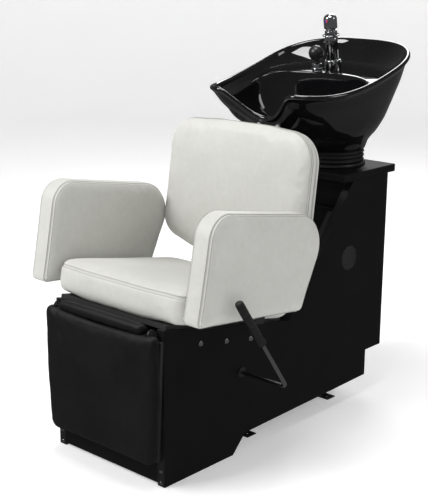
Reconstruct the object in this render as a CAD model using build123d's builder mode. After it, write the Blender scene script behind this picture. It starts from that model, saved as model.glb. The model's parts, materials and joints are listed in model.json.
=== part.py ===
"""Shampoo backwash unit: a reclined chair with a pull-out leg rest, a tiltable wash bowl and its cabinet.

The sitter faces -Y, the bowl is at +Y and +Z is up.  The origin is on the floor, under the middle
of the plinth.  All lengths are in millimetres.  Side outlines are drawn as (behind, height): the
distance behind the cabinet's front edge and the height above the floor.
"""
import os
from math import atan2, cos, degrees, hypot, pi, radians, sin, tan

from build123d import *

# ------------------------------------------------------------------ driving dimensions
FRONT = -560.0               # y of the cabinet's front edge
CABINET_WIDTH = 430.0
SHEET = 27.0                 # side panel thickness
BOARD = 16.0                 # thickness of the inner boards
TOP_BOARD = 24.0
TOWER_HEIGHT = 724.0         # top edge of the side panels
CABINET_DEPTH = 1017.0
SEAT_FRONT_HEIGHT = 447.0    # top edge of the side panels at the front
SEAT_TILT = 10.6             # degrees, seat falls towards the bowl
BACK_TILT = 8.0              # degrees from upright
BACK_AT = (477.0, 500.0)     # (behind, height) of a point on the back cushion's face
SEAT_DEPTH = 500.0
ARM_INSIDE = 266.0           # x of the arms' inner faces
ARM_THICKNESS = 72.0
LEVER_BEHIND, LEVER_HEIGHT = 312.0, 247.0
LEVER_REACH = 377.0          # x of the lever's straight arm
LEVER_LENGTH = 350.0
LEVER_LEAN = 35.6            # degrees forward of upright
LEVER_ROD = 12.0             # diameter
LINK_THICKNESS = 3.0
LINK_WIDTH = 24.0
PIVOT_BEHIND, PIVOT_HEIGHT = -18.0, 434.0      # upper link's fixed pivot
KNEE_BEHIND, KNEE_HEIGHT = 14.0, 240.0         # joint between the upper and lower links
TOP_BEHIND, TOP_HEIGHT = 13.0, 392.0           # joint between the lower link and the leg rest
ROD_BEHIND, ROD_HEIGHT = 62.0, 398.0           # drive rod's joint on the upper link
PIN = 8.0                                      # link pin diameter
RUNNING = 0.05                                 # radial clearance of a running fit
BOWL_BEHIND = 925.0          # centre of the bowl's foot
BOWL_FOOT = 799.0            # height of the foot
RIM_TILT = 12.0
RIM_BEHIND, RIM_HEIGHT = 881.0, 1063.5         # middle of the rim
DECK_BEHIND, DECK_HEIGHT, DECK_TILT = 962.0, 1027.0, 9.0
DRAIN_BEHIND = 866.0
TILT_PIVOT_HEIGHT = 786.0
TAP_BEHIND = 998.0
SPRAY_X = -64.0

HALF = CABINET_WIDTH / 2
INNER = HALF - SHEET
DECK_TOP = TOWER_HEIGHT + TOP_BOARD


# ------------------------------------------------------------------ placing helpers
def side_plane(x):
    """Plane at x whose drawing axes are (behind the front edge, height); it extrudes to +X."""
    return Plane(origin=(x, FRONT, 0), x_dir=(0, 1, 0), z_dir=(1, 0, 0))


def level_plane(height, behind=0.0):
    """Horizontal plane whose drawing axes are X and +Y, centred at a distance behind the front."""
    return Plane(origin=(0, FRONT + behind, height), x_dir=(1, 0, 0), z_dir=(0, 0, 1))


def leaning_plane(behind, height, lean, x=0.0):
    """Plane whose normal leans forward from +Z by lean degrees."""
    angle = radians(lean)
    return Plane(origin=(x, FRONT + behind, height), x_dir=(1, 0, 0), z_dir=(0, -sin(angle), cos(angle)))


def seat_plane(x):
    """Side plane turned to the seat: drawing axes are (along the seat, square to the seat)."""
    angle = radians(SEAT_TILT)
    return Plane(origin=(x, FRONT, SEAT_FRONT_HEIGHT), x_dir=(0, cos(angle), -sin(angle)), z_dir=(1, 0, 0))


def back_plane(offset):
    """Plane parallel to the back cushion's face and offset behind it; its axes are -X and up the back."""
    angle = radians(BACK_TILT)
    normal = Vector(0, cos(angle), -sin(angle))
    origin = Vector(0, FRONT + BACK_AT[0], BACK_AT[1]) + normal * offset
    return Plane(origin=origin, x_dir=(-1, 0, 0), z_dir=normal)


def on_seat(along, square):
    """Side coordinates of a point given along and square to the seat."""
    angle = radians(SEAT_TILT)
    behind = along * cos(angle) + square * sin(angle)
    height = SEAT_FRONT_HEIGHT - along * sin(angle) + square * cos(angle)
    return behind, height


def write(piece, name):
    """Label a finished piece and write its STEP file."""
    piece.part.label = name
    export_step(piece.part, f"parts/{name}.step")


def oval_points(half_width, front, rear, power=2.5, count=20):
    """Points of a closed oval with different front and rear depths, from the superellipse formula."""
    points = []
    for index in range(count):
        turn = 2 * pi * index / count
        c, s = cos(turn), sin(turn)
        depth = rear if s > 0 else front
        x = half_width * abs(c) ** (2 / power) * (1 if c >= 0 else -1)
        y = depth * abs(s) ** (2 / power) * (1 if s >= 0 else -1)
        points.append((x, y))
    return points


def oval(half_width, front, rear, power=2.5):
    """Add a filled superellipse oval to the sketch that is being built."""
    with BuildLine() as outline:
        Spline(*oval_points(half_width, front, rear, power), periodic=True)
    make_face(outline.edges())


def link_face(ends, holes, width=LINK_WIDTH):
    """Sketch a flat link: round-ended bars along the given points, with pin holes."""
    for start, end in zip(ends, ends[1:]):
        middle = ((start[0] + end[0]) / 2, (start[1] + end[1]) / 2)
        length = hypot(end[0] - start[0], end[1] - start[1])
        turn = degrees(atan2(end[1] - start[1], end[0] - start[0]))
        with Locations(middle):
            SlotCenterToCenter(length, width, rotation=turn)
    for centre, diameter in holes:
        with Locations(centre):
            Circle(diameter / 2, mode=Mode.SUBTRACT)


os.makedirs("parts", exist_ok=True)

# ------------------------------------------------------------------ cabinet: side panels
SLANT_BEHIND, SLANT_HEIGHT = 829.0, TOWER_HEIGHT
DECK_END = on_seat(540.0, 0.0)
PANEL_OUTLINE = [(0, 0), (281, 0), (332, 53), (934, 64), (934, 149), (CABINET_DEPTH, 149),
                 (CABINET_DEPTH, TOWER_HEIGHT), (SLANT_BEHIND, SLANT_HEIGHT), DECK_END, (0, SEAT_FRONT_HEIGHT)]
RAIL_BOLTS = [(141.0, 376.0), (247.0, 356.0), (351.0, 337.0)]
RAIL_BOLT = 8.0
PORT_BEHIND, PORT_HEIGHT, PORT = 821.0, 482.0, 80.0
BUSH_OUTSIDE = 22.0


def side_panel(x, with_lever):
    """Sketch one side panel and its holes on the plane at x, and extrude it outwards."""
    with BuildSketch(side_plane(x)) as profile:
        with BuildLine():
            Polyline(*PANEL_OUTLINE, close=True)
        make_face()
        with Locations(*RAIL_BOLTS):
            Circle(RAIL_BOLT / 2 + 0.2, mode=Mode.SUBTRACT)
        with Locations((PORT_BEHIND, PORT_HEIGHT)):
            Circle(PORT / 2, mode=Mode.SUBTRACT)
        if with_lever:
            with Locations((LEVER_BEHIND, LEVER_HEIGHT)):
                Circle(BUSH_OUTSIDE / 2, mode=Mode.SUBTRACT)
    extrude(profile.sketch, amount=SHEET)


with BuildPart() as side_panel_left:
    side_panel(INNER, True)
write(side_panel_left, "side_panel_left")

with BuildPart() as side_panel_right:
    side_panel(-HALF, False)
write(side_panel_right, "side_panel_right")

# ------------------------------------------------------------------ cabinet: boards
BOARD_FRONT, BOARD_REAR = 777.0, 1057.0
WASTE_HOLE = 46.0
with BuildPart() as top_board:
    with BuildSketch(level_plane(TOWER_HEIGHT, (BOARD_FRONT + BOARD_REAR) / 2)):
        Rectangle(CABINET_WIDTH, BOARD_REAR - BOARD_FRONT)
    extrude(amount=TOP_BOARD)
    with BuildSketch(level_plane(TOWER_HEIGHT, DRAIN_BEHIND + 2)):
        Circle(WASTE_HOLE)
    extrude(amount=TOP_BOARD, mode=Mode.SUBTRACT)
    with BuildSketch(level_plane(TOWER_HEIGHT, TAP_BEHIND)):
        SlotOverall(110, 36)
    extrude(amount=TOP_BOARD, mode=Mode.SUBTRACT)
    chamfer(top_board.edges().group_by(Axis.Z)[-1].filter_by(GeomType.LINE).sort_by(Axis.Y)[-1], 1.5)
write(top_board, "top_board")

slant_angle = atan2(SLANT_BEHIND - DECK_END[0], SLANT_HEIGHT - DECK_END[1])


def on_slant(up, inward):
    """Side coordinates of a point up the tower's slanted edge and inward from it."""
    behind = DECK_END[0] + up * sin(slant_angle) + inward * cos(slant_angle)
    height = DECK_END[1] + up * cos(slant_angle) - inward * sin(slant_angle)
    return behind, height


CLEAT = 15.0
CLEAT_WIDE = 42.0
POST_LOW, POST = 190.0, 510.0                # upright cleats behind the rear panel
PANEL_FACE = CABINET_DEPTH - 22.0            # front face of the recessed rear panel
BACK_SCREW = 4.8
BACK_SCREWS = [(x, z) for x in (-168, 168) for z in (215, 445, 680)]
RAIL_LOW = 634.0                             # the waste pipe clears this height when the bowl tilts


def slant_reach(inward):
    """Distance up the slant at which a line parallel to it meets the top rail's lower face."""
    return (RAIL_LOW - DECK_END[1] + inward * sin(slant_angle)) / cos(slant_angle)


with BuildPart() as tower_cleats:
    for x in (INNER - CLEAT, -INNER):
        with BuildSketch(side_plane(x)):
            with BuildLine():
                Polyline(on_slant(20, 0), on_slant(slant_reach(0), 0),
                         on_slant(slant_reach(CLEAT_WIDE), CLEAT_WIDE), on_slant(20, CLEAT_WIDE), close=True)
            make_face()
        extrude(amount=CLEAT)
    for x in (-INNER + CLEAT, INNER - CLEAT):
        with BuildSketch(level_plane(POST_LOW, PANEL_FACE - CLEAT)):
            with Locations((x, 0)):
                Rectangle(2 * CLEAT, 2 * CLEAT)
        extrude(amount=POST)
    with BuildSketch(Plane(origin=(0, FRONT + PANEL_FACE, 0), x_dir=(1, 0, 0), z_dir=(0, -1, 0))):
        with Locations(*BACK_SCREWS):
            Circle(BACK_SCREW / 2)
    extrude(amount=18, mode=Mode.SUBTRACT)
write(tower_cleats, "tower_cleats")

with BuildPart() as tower_front_panel:
    with BuildSketch(side_plane(-INNER)):
        with BuildLine():
            Polyline(on_slant(8, CLEAT_WIDE), on_slant(slant_reach(CLEAT_WIDE), CLEAT_WIDE),
                     on_slant(slant_reach(CLEAT_WIDE + BOARD), CLEAT_WIDE + BOARD),
                     on_slant(8, CLEAT_WIDE + BOARD), close=True)
        make_face()
    extrude(amount=2 * INNER)
write(tower_front_panel, "tower_front_panel")

with BuildPart() as tower_top_rail:
    with BuildSketch(side_plane(-INNER)):
        with BuildLine():
            Polyline((820, RAIL_LOW), (832, RAIL_LOW), (832, TOWER_HEIGHT), (SLANT_BEHIND, TOWER_HEIGHT),
                     (820, TOWER_HEIGHT - 12), close=True)
        make_face()
    extrude(amount=2 * INNER)
write(tower_top_rail, "tower_top_rail")

with BuildPart() as tower_back_panel:
    with BuildSketch(Plane(origin=(0, FRONT + PANEL_FACE, 0), x_dir=(1, 0, 0), z_dir=(0, -1, 0))):
        with Locations((0, (166 + TOWER_HEIGHT) / 2)):
            Rectangle(2 * INNER - 2, TOWER_HEIGHT - 166 - 2)
        with Locations(*BACK_SCREWS):
            Circle(BACK_SCREW / 2, mode=Mode.SUBTRACT)
        with Locations((0, 640)):
            SlotOverall(120, 30, mode=Mode.SUBTRACT)
    extrude(amount=-BOARD)
write(tower_back_panel, "tower_back_panel")

FLOOR_LOW = 149.0
FLOOR_TOP = FLOOR_LOW + BOARD
with BuildPart() as cabinet_floor:
    with BuildSketch(level_plane(FLOOR_LOW, (300 + 990) / 2)):
        Rectangle(2 * INNER, 990 - 300)
        with Locations((0, 130)):
            Rectangle(180, 120, mode=Mode.SUBTRACT)
        with Locations((INNER - 30, -302)):
            Rectangle(60, 92, mode=Mode.SUBTRACT)
    extrude(amount=BOARD)
write(cabinet_floor, "cabinet_floor")

KICK_HEIGHT = 118.0
with BuildPart() as kick_board:
    with BuildSketch(side_plane(-INNER)):
        with Locations((1 + BOARD / 2, 7 + KICK_HEIGHT / 2)):
            Rectangle(BOARD, KICK_HEIGHT)
    extrude(amount=2 * INNER)
write(kick_board, "kick_board")

with BuildPart() as panel_screws:
    for x in (-HALF + SHEET / 2, HALF - SHEET / 2):
        for z in (10, 45):
            with BuildSketch(Plane(origin=(x, FRONT, z), x_dir=(1, 0, 0), z_dir=(0, -1, 0))):
                Circle(6)
            extrude(amount=2.6, taper=30)
    for x, z in BACK_SCREWS:
        rear_face = Plane(origin=(x, FRONT + PANEL_FACE + BOARD, z), x_dir=(1, 0, 0), z_dir=(0, 1, 0))
        with BuildSketch(rear_face):
            Circle(5)
        extrude(amount=2.4, taper=20)
        with BuildSketch(rear_face):
            Circle(BACK_SCREW / 2)
        extrude(amount=-BOARD - 16)
write(panel_screws, "panel_screws")

with BuildPart() as cross_rails:
    for behind, low, high in ((440, 230, 350), (600, 166, 260)):
        with BuildSketch(side_plane(-INNER)):
            with Locations((behind, (low + high) / 2)):
                Rectangle(BOARD, high - low)
        extrude(amount=2 * INNER)
write(cross_rails, "cross_rails")

PLINTH_HALF = 120.0
PLINTH_FRONT, PLINTH_REAR = 345.0, 900.0
PLINTH_CROSS = (PLINTH_FRONT + BOARD / 2, -FRONT, PLINTH_REAR - BOARD / 2)
with BuildPart() as plinth:
    for x in (-PLINTH_HALF, PLINTH_HALF - BOARD):
        with BuildSketch(side_plane(x)):
            with Locations(((PLINTH_FRONT + PLINTH_REAR) / 2, FLOOR_LOW / 2)):
                Rectangle(PLINTH_REAR - PLINTH_FRONT, FLOOR_LOW)
        extrude(amount=BOARD)
    for behind in PLINTH_CROSS:
        with BuildSketch(side_plane(-PLINTH_HALF + BOARD)):
            with Locations((behind, FLOOR_LOW / 2)):
                Rectangle(BOARD, FLOOR_LOW)
        extrude(amount=2 * (PLINTH_HALF - BOARD))
write(plinth, "plinth")

FIX_X, FIX_NEAR, FIX_FAR = 150.0, 420.0, 820.0
FIX_HOLE = 4.5
with BuildPart() as floor_brackets:
    for side in (-1, 1):
        for behind in (FIX_NEAR, FIX_FAR):
            with BuildSketch(level_plane(0, behind)):
                with Locations((side * (PLINTH_HALF + 24), 0)):
                    Rectangle(48, 40)
                with Locations((side * FIX_X, 0)):
                    Circle(FIX_HOLE, mode=Mode.SUBTRACT)
            extrude(amount=3)
            with BuildSketch(level_plane(3, behind)):
                with Locations((side * (PLINTH_HALF + 1.5), 0)):
                    Rectangle(3, 40)
            extrude(amount=45)
write(floor_brackets, "floor_brackets")

with BuildPart() as port_caps:
    for x in (HALF - 10, -HALF + 4):
        with BuildSketch(side_plane(x)):
            with Locations((PORT_BEHIND, PORT_HEIGHT)):
                Circle(PORT / 2)
        extrude(amount=6)
write(port_caps, "port_caps")

# ------------------------------------------------------------------ leg-rest mechanism on the cabinet
RAIL_X = INNER - 0.2 - LINK_THICKNESS
RAIL_NOSE = (PIVOT_BEHIND, PIVOT_HEIGHT)
rail_end = RAIL_BOLTS[2][0] + 40, RAIL_BOLTS[2][1] - 7.5
rail_start = RAIL_BOLTS[0][0] - 100, RAIL_BOLTS[0][1] + 18.7
with BuildPart() as mechanism_rails:
    for x in (RAIL_X, -RAIL_X - LINK_THICKNESS):
        with BuildSketch(side_plane(x)):
            link_face([RAIL_NOSE, rail_start, rail_end],
                      [(RAIL_NOSE, PIN)] + [(bolt, RAIL_BOLT) for bolt in RAIL_BOLTS], width=30)
        extrude(amount=LINK_THICKNESS)
write(mechanism_rails, "mechanism_rails")

with BuildPart() as panel_bolts:
    for side in (-1, 1):
        for bolt in RAIL_BOLTS:
            inner_end, outer_face = [Plane(origin=(side * x, FRONT + bolt[0], bolt[1]), x_dir=(0, 1, 0),
                                           z_dir=(side, 0, 0)) for x in (RAIL_X - 5, HALF)]
            with BuildSketch(inner_end):
                RegularPolygon(7.5, 6)
            extrude(amount=5)
            with BuildSketch(inner_end):
                Circle(RAIL_BOLT / 2)
            extrude(amount=HALF - RAIL_X + 5)
            with BuildSketch(outer_face):
                Circle(8)
            extrude(amount=3.4, taper=35)
write(panel_bolts, "panel_bolts")

LINK_X = RAIL_X - 0.8 - LINK_THICKNESS       # upper link layer
NEXT_X = LINK_X - 0.8 - LINK_THICKNESS       # lower link and drive rod layer
REST_X = NEXT_X - 0.8 - LINK_THICKNESS       # leg-rest bracket layer


def cross_pin(x_from, x_to, point, diameter):
    """Add a round pin along X through a point of the side view."""
    low, high = min(x_from, x_to), max(x_from, x_to)
    with BuildSketch(side_plane(low)) as profile:
        with Locations(point):
            Circle(diameter / 2)
    extrude(profile.sketch, amount=high - low)


PIVOT = (PIVOT_BEHIND, PIVOT_HEIGHT)
KNEE = (KNEE_BEHIND, KNEE_HEIGHT)
TOP = (TOP_BEHIND, TOP_HEIGHT)
ROD_JOINT = (ROD_BEHIND, ROD_HEIGHT)

with BuildPart() as upper_link_pins:
    for side in (-1, 1):
        cross_pin(side * (LINK_X - 0.4), side * (RAIL_X + LINK_THICKNESS), PIVOT, PIN)
        inner = LINK_X - 0.4 - 2.5 if side > 0 else -LINK_X + 0.4
        with BuildSketch(side_plane(inner)):
            with Locations(PIVOT):
                Circle(6.5)
        extrude(amount=2.5)
write(upper_link_pins, "upper_link_pins")

UPPER_BEND = (16.0, 404.0)
with BuildPart() as upper_links:
    for side, x in ((1, LINK_X), (-1, -LINK_X - LINK_THICKNESS)):
        with BuildSketch(side_plane(x)):
            link_face([PIVOT, UPPER_BEND, KNEE],
                      [(PIVOT, PIN + 2 * RUNNING), (KNEE, PIN)])
            link_face([UPPER_BEND, ROD_JOINT], [(ROD_JOINT, PIN)] if side > 0 else [])
        extrude(amount=LINK_THICKNESS)
write(upper_links, "upper_links")

TUBE_AT = (44.0, 400.0)
TUBE = 14.0
with BuildPart() as link_cross_tube:
    with BuildSketch(side_plane(-LINK_X)):
        with Locations(TUBE_AT):
            Circle(TUBE / 2)
            Circle(TUBE / 2 - 2, mode=Mode.SUBTRACT)
    extrude(amount=2 * LINK_X)
write(link_cross_tube, "link_cross_tube")

ROLL_HALF = 166.0
ROLL_AT, ROLL_RADIUS = (-25.0, 444.5), 16.5
FLIPPER = (4.0, 12.0, 330.0, 430.0)          # front, rear, low and high faces of the flipper's board
with BuildPart() as flipper_board:
    with BuildSketch(side_plane(-ROLL_HALF)):
        with Locations(((FLIPPER[0] + FLIPPER[1]) / 2, (FLIPPER[2] + FLIPPER[3]) / 2)):
            Rectangle(FLIPPER[1] - FLIPPER[0], FLIPPER[3] - FLIPPER[2])
    extrude(amount=2 * ROLL_HALF)
    for x in (-115, 85):
        with BuildSketch(side_plane(x)):
            with Locations(((FLIPPER[1] + TUBE_AT[0] - TUBE / 2) / 2, TUBE_AT[1])):
                Rectangle(TUBE_AT[0] - TUBE / 2 - FLIPPER[1] + 0.2, 8)
        extrude(amount=30)
write(flipper_board, "flipper_board")

with BuildPart() as flipper_pad:
    with BuildSketch(side_plane(-ROLL_HALF)):
        with Locations(ROLL_AT):
            Circle(ROLL_RADIUS)
        with BuildLine():
            Polyline((-22, 460.5), (0, 451), (FLIPPER[1], FLIPPER[3] + 1), (-8, FLIPPER[3] + 0.6), (-16, 431),
                     close=True)
        make_face()
    extrude(amount=2 * ROLL_HALF)
write(flipper_pad, "flipper_pad")

with BuildPart() as lower_link_pins:
    for side in (-1, 1):
        start = side * (NEXT_X - 0.4)
        cross_pin(start, side * (LINK_X + LINK_THICKNESS), KNEE, PIN)
        inner = NEXT_X - 0.4 - 2.2 if side > 0 else -NEXT_X + 0.4
        with BuildSketch(side_plane(inner)):
            with Locations(KNEE):
                Circle(6.5)
        extrude(amount=2.2)
    cross_pin(NEXT_X - 0.4, LINK_X + LINK_THICKNESS, ROD_JOINT, PIN)
    with BuildSketch(side_plane(NEXT_X - 3.4)):
        with Locations(ROD_JOINT):
            Circle(7.5)
    extrude(amount=3)
write(lower_link_pins, "lower_link_pins")

with BuildPart() as lower_links:
    for x in (NEXT_X, -NEXT_X - LINK_THICKNESS):
        with BuildSketch(side_plane(x)):
            link_face([KNEE, TOP], [(KNEE, PIN + 2 * RUNNING), (TOP, PIN)])
        extrude(amount=LINK_THICKNESS)
write(lower_links, "lower_links")

with BuildPart() as rest_pins:
    for side in (-1, 1):
        cross_pin(side * (REST_X - 0.4), side * (NEXT_X + LINK_THICKNESS), TOP, PIN)
        inner = REST_X - 0.4 - 2.5 if side > 0 else -REST_X + 0.4
        with BuildSketch(side_plane(inner)):
            with Locations(TOP):
                Circle(6.5)
        extrude(amount=2.5)
write(rest_pins, "rest_pins")

# ------------------------------------------------------------------ leg rest
REST_LOW, REST_TOP = 64.0, 440.0
REST_BACK, REST_FACE = -1.5, -44.0
REST_HALF_LOW, REST_HALF_TOP = 212.0, 226.0
EAR = 174.0
REST_BOARD = 10.0
SLOT_X, SLOT_WIDE, SLOT_LOW, SLOT_DEEP = 183.5, 14.0, 392.0, 34.0     # room for the upper links and rail noses


def link_slots():
    """Cut the slots behind the leg rest's upper corners that the links stand in."""
    for side in (-1, 1):
        with BuildSketch(side_plane(side * SLOT_X - SLOT_WIDE / 2)) as profile:
            with Locations((-SLOT_DEEP / 2 + 1, SLOT_LOW + 40)):
                Rectangle(SLOT_DEEP + 2, 80)
        extrude(profile.sketch, amount=SLOT_WIDE, mode=Mode.SUBTRACT)


with BuildPart() as rest_brackets:
    for x in (REST_X, -REST_X - LINK_THICKNESS):
        with BuildSketch(side_plane(x)):
            link_face([TOP, (TOP[0] - 3, 330)], [(TOP, PIN + 2 * RUNNING)], width=22)
        extrude(amount=LINK_THICKNESS)
    for x in (REST_X - 18, -REST_X):
        with BuildSketch(side_plane(x)):
            with Locations((-0.25, 361)):
                Rectangle(2.5, 84)
        extrude(amount=18)
write(rest_brackets, "rest_brackets")

with BuildPart() as leg_rest_board:
    with BuildSketch(Plane(origin=(0, FRONT + REST_BACK - REST_BOARD, 0), x_dir=(-1, 0, 0), z_dir=(0, 1, 0))):
        with BuildLine():
            Polyline((-REST_HALF_LOW + 12, REST_LOW + 10), (REST_HALF_LOW - 12, REST_LOW + 10),
                     (REST_HALF_TOP - 12, REST_TOP - 24), (-REST_HALF_TOP + 12, REST_TOP - 24), close=True)
        make_face()
    extrude(amount=REST_BOARD)
    link_slots()
write(leg_rest_board, "leg_rest_board")

with BuildPart() as leg_rest_pad:
    with BuildSketch(Plane(origin=(0, FRONT + REST_FACE, 0), x_dir=(-1, 0, 0), z_dir=(0, 1, 0))):
        with BuildLine():
            Polyline((-REST_HALF_LOW, REST_LOW), (REST_HALF_LOW, REST_LOW), (REST_HALF_TOP, REST_TOP),
                     (EAR, REST_TOP), (EAR - 4, REST_TOP - 14), (-EAR + 4, REST_TOP - 14), (-EAR, REST_TOP),
                     (-REST_HALF_TOP, REST_TOP), close=True)
        make_face()
    extrude(amount=REST_BACK - REST_BOARD - REST_FACE)
    link_slots()
write(leg_rest_pad, "leg_rest_pad")

# ------------------------------------------------------------------ lever and drive rod
CRANK_TIP = (LEVER_BEHIND + ROD_JOINT[0] - PIVOT[0], LEVER_HEIGHT + ROD_JOINT[1] - PIVOT[1])
LEVER_AT = (LEVER_BEHIND, LEVER_HEIGHT)
SHAFT_INNER = LINK_X         # the shaft ends at the crank's inner face
GRIP_LENGTH = 170.0
GRIP = 24.0
lean = radians(LEVER_LEAN)
lever_up = Vector(0, -sin(lean), cos(lean))
elbow = Vector(LEVER_REACH, FRONT + LEVER_BEHIND, LEVER_HEIGHT)
lever_top = elbow + lever_up * LEVER_LENGTH

with BuildPart() as lever_rod:
    with BuildLine() as lever_path:
        FilletPolyline(Vector(SHAFT_INNER, FRONT + LEVER_BEHIND, LEVER_HEIGHT), elbow, lever_top, radius=16)
    with BuildSketch(side_plane(SHAFT_INNER)):
        with Locations(LEVER_AT):
            Circle(LEVER_ROD / 2)
    sweep(path=lever_path.wires()[0])
write(lever_rod, "lever_rod")

grip_plane = Plane(origin=lever_top + lever_up * 7, x_dir=(1, 0, 0), z_dir=-lever_up)
with BuildPart() as lever_grip:
    with BuildSketch(grip_plane):
        Circle(GRIP / 2)
    extrude(amount=GRIP_LENGTH)
    fillet(lever_grip.edges().sort_by(lambda edge: edge.center().Z)[-1], 9)
    fillet(lever_grip.edges().sort_by(lambda edge: edge.center().Z)[0], 2)
    with BuildSketch(grip_plane.offset(7)):
        Circle(LEVER_ROD / 2)
    extrude(amount=GRIP_LENGTH, mode=Mode.SUBTRACT)
write(lever_grip, "lever_grip")

with BuildPart() as lever_crank:
    with BuildSketch(side_plane(LINK_X)):
        link_face([LEVER_AT, CRANK_TIP], [(LEVER_AT, LEVER_ROD), (CRANK_TIP, PIN)])
    extrude(amount=LINK_THICKNESS)
    with BuildSketch(side_plane(LINK_X + LINK_THICKNESS)):
        with Locations(LEVER_AT):
            Circle(11)
            Circle(LEVER_ROD / 2, mode=Mode.SUBTRACT)
    extrude(amount=INNER - LINK_X - LINK_THICKNESS - 0.4)
    cross_pin(NEXT_X - 0.4, LINK_X + LINK_THICKNESS, CRANK_TIP, PIN)
    with BuildSketch(side_plane(NEXT_X - 2.9)):
        with Locations(CRANK_TIP):
            Circle(6.5)
    extrude(amount=2.5)
write(lever_crank, "lever_crank")

OPEN_EYE = 2.0               # radial clearance at the linkage's open joint
with BuildPart() as drive_rod:
    with BuildSketch(side_plane(NEXT_X)):
        link_face([CRANK_TIP, ROD_JOINT],
                  [(CRANK_TIP, PIN + 2 * RUNNING), (ROD_JOINT, PIN + 2 * OPEN_EYE)], width=20)
    extrude(amount=LINK_THICKNESS)
write(drive_rod, "drive_rod")

with BuildPart() as lever_bush:
    with BuildSketch(side_plane(INNER)):
        with Locations(LEVER_AT):
            Circle(BUSH_OUTSIDE / 2)
    extrude(amount=SHEET)
    with BuildSketch(side_plane(HALF)):
        with Locations(LEVER_AT):
            Circle(15)
    extrude(amount=3)
    with BuildSketch(side_plane(INNER - 3)):
        with Locations(LEVER_AT):
            Circle(LEVER_ROD / 2 + RUNNING)
    extrude(amount=SHEET + 10, mode=Mode.SUBTRACT)
write(lever_bush, "lever_bush")

# ------------------------------------------------------------------ seat
SEAT_HALF = 258.0
SEAT_BOARD = 12.0
STRAP = 4.0
with BuildPart() as seat_board:
    with BuildSketch(seat_plane(-HALF + 8)):
        with Locations((255, SEAT_BOARD / 2)):
            Rectangle(486, SEAT_BOARD)
    extrude(amount=2 * (HALF - 8))
write(seat_board, "seat_board")

ARM_STRAPS = (110.0, 330.0)
with BuildPart() as arm_straps:
    for along in ARM_STRAPS:
        with BuildSketch(seat_plane(-ARM_INSIDE)):
            with Locations((along, SEAT_BOARD + STRAP / 2)):
                Rectangle(40, STRAP)
        extrude(amount=2 * ARM_INSIDE)
        for x in (-ARM_INSIDE, ARM_INSIDE - STRAP):
            with BuildSketch(seat_plane(x)):
                with Locations((along, SEAT_BOARD + STRAP + 40)):
                    Rectangle(40, 80)
                with Locations((along, 50), (along, 80)):
                    Circle(4.2, mode=Mode.SUBTRACT)
            extrude(amount=STRAP)
write(arm_straps, "arm_straps")

with BuildPart() as arm_bolts:
    for side in (-1, 1):
        for along in ARM_STRAPS:
            for square in (50, 80):
                behind, height = on_seat(along, square)
                head = Plane(origin=(side * (ARM_INSIDE - STRAP), FRONT + behind, height), x_dir=(0, 1, 0),
                             z_dir=(-side, 0, 0))
                with BuildSketch(head):
                    Circle(7)
                extrude(amount=2.5)
                with BuildSketch(head):
                    Circle(4)
                extrude(amount=-30)
write(arm_bolts, "arm_bolts")

SEAT_LOW, SEAT_TOP = SEAT_BOARD + STRAP + 0.5, 106.0
with BuildPart() as seat_cushion:
    with BuildSketch(seat_plane(-SEAT_HALF + 3.5)):
        with BuildLine():
            FilletPolyline((6, SEAT_LOW), (SEAT_DEPTH, SEAT_LOW), (SEAT_DEPTH, SEAT_TOP), (6, SEAT_TOP),
                           radius=24, close=True)
        make_face()
    extrude(amount=2 * SEAT_HALF - 7)
write(seat_cushion, "seat_cushion")

# ------------------------------------------------------------------ arms
ARM_OUTLINE = [(0, 474), (428, 423), (504, 616), (436, 709), (132, 763), (44, 708)]
ARM_EDGE = 12.0
ARM_RADII = [10, 22, 60, 45, 60, 60]


def arm_pad(arm, x):
    """Add one padded arm to the part arm, drawn in side view and extruded from x."""
    with BuildSketch(side_plane(x)) as profile:
        with BuildLine():
            FilletPolyline(*ARM_OUTLINE, radius=ARM_RADII, close=True)
        make_face()
        with Locations(*[on_seat(along, square) for along in ARM_STRAPS for square in (50, 80)]):
            Circle(4, mode=Mode.SUBTRACT)
    extrude(profile.sketch, amount=ARM_THICKNESS)
    for face in arm.faces().filter_by(Axis.X):
        fillet(face.outer_wire().edges(), ARM_EDGE)


with BuildPart() as arm_pad_left:
    arm_pad(arm_pad_left, ARM_INSIDE)
write(arm_pad_left, "arm_pad_left")

with BuildPart() as arm_pad_right:
    arm_pad(arm_pad_right, -ARM_INSIDE - ARM_THICKNESS)
write(arm_pad_right, "arm_pad_right")

# ------------------------------------------------------------------ back rest
BACK_HALF = 283.0
BACK_EDGE = 16.0
BACK_LOW, BACK_HIGH = 8.0, 424.0
BACK_THICKNESS = 50.0
BACK_BOARD = 10.0
with BuildPart() as back_cushion:
    with BuildSketch(back_plane(0)):
        with Locations((0, (BACK_LOW + BACK_HIGH) / 2)):
            RectangleRounded(2 * BACK_HALF, BACK_HIGH - BACK_LOW, 90)
    extrude(amount=BACK_THICKNESS)
    chamfer(back_cushion.faces().sort_by(Axis.Y)[0].edges(), BACK_EDGE)
write(back_cushion, "back_cushion")

with BuildPart() as back_board:
    with BuildSketch(back_plane(BACK_THICKNESS)):
        with Locations((0, (BACK_LOW + BACK_HIGH) / 2)):
            RectangleRounded(2 * BACK_HALF - 16, BACK_HIGH - BACK_LOW - 16, 82)
    extrude(amount=BACK_BOARD)
write(back_board, "back_board")

BACK_BRACKET_X = 130.0
BRACKET = 6.0
lean_back = radians(BACK_TILT)


def on_back(offset, up):
    """Side coordinates of a point behind the back cushion's face and up along it."""
    behind = BACK_AT[0] + offset * cos(lean_back) + up * sin(lean_back)
    height = BACK_AT[1] - offset * sin(lean_back) + up * cos(lean_back)
    return behind, height


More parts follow.
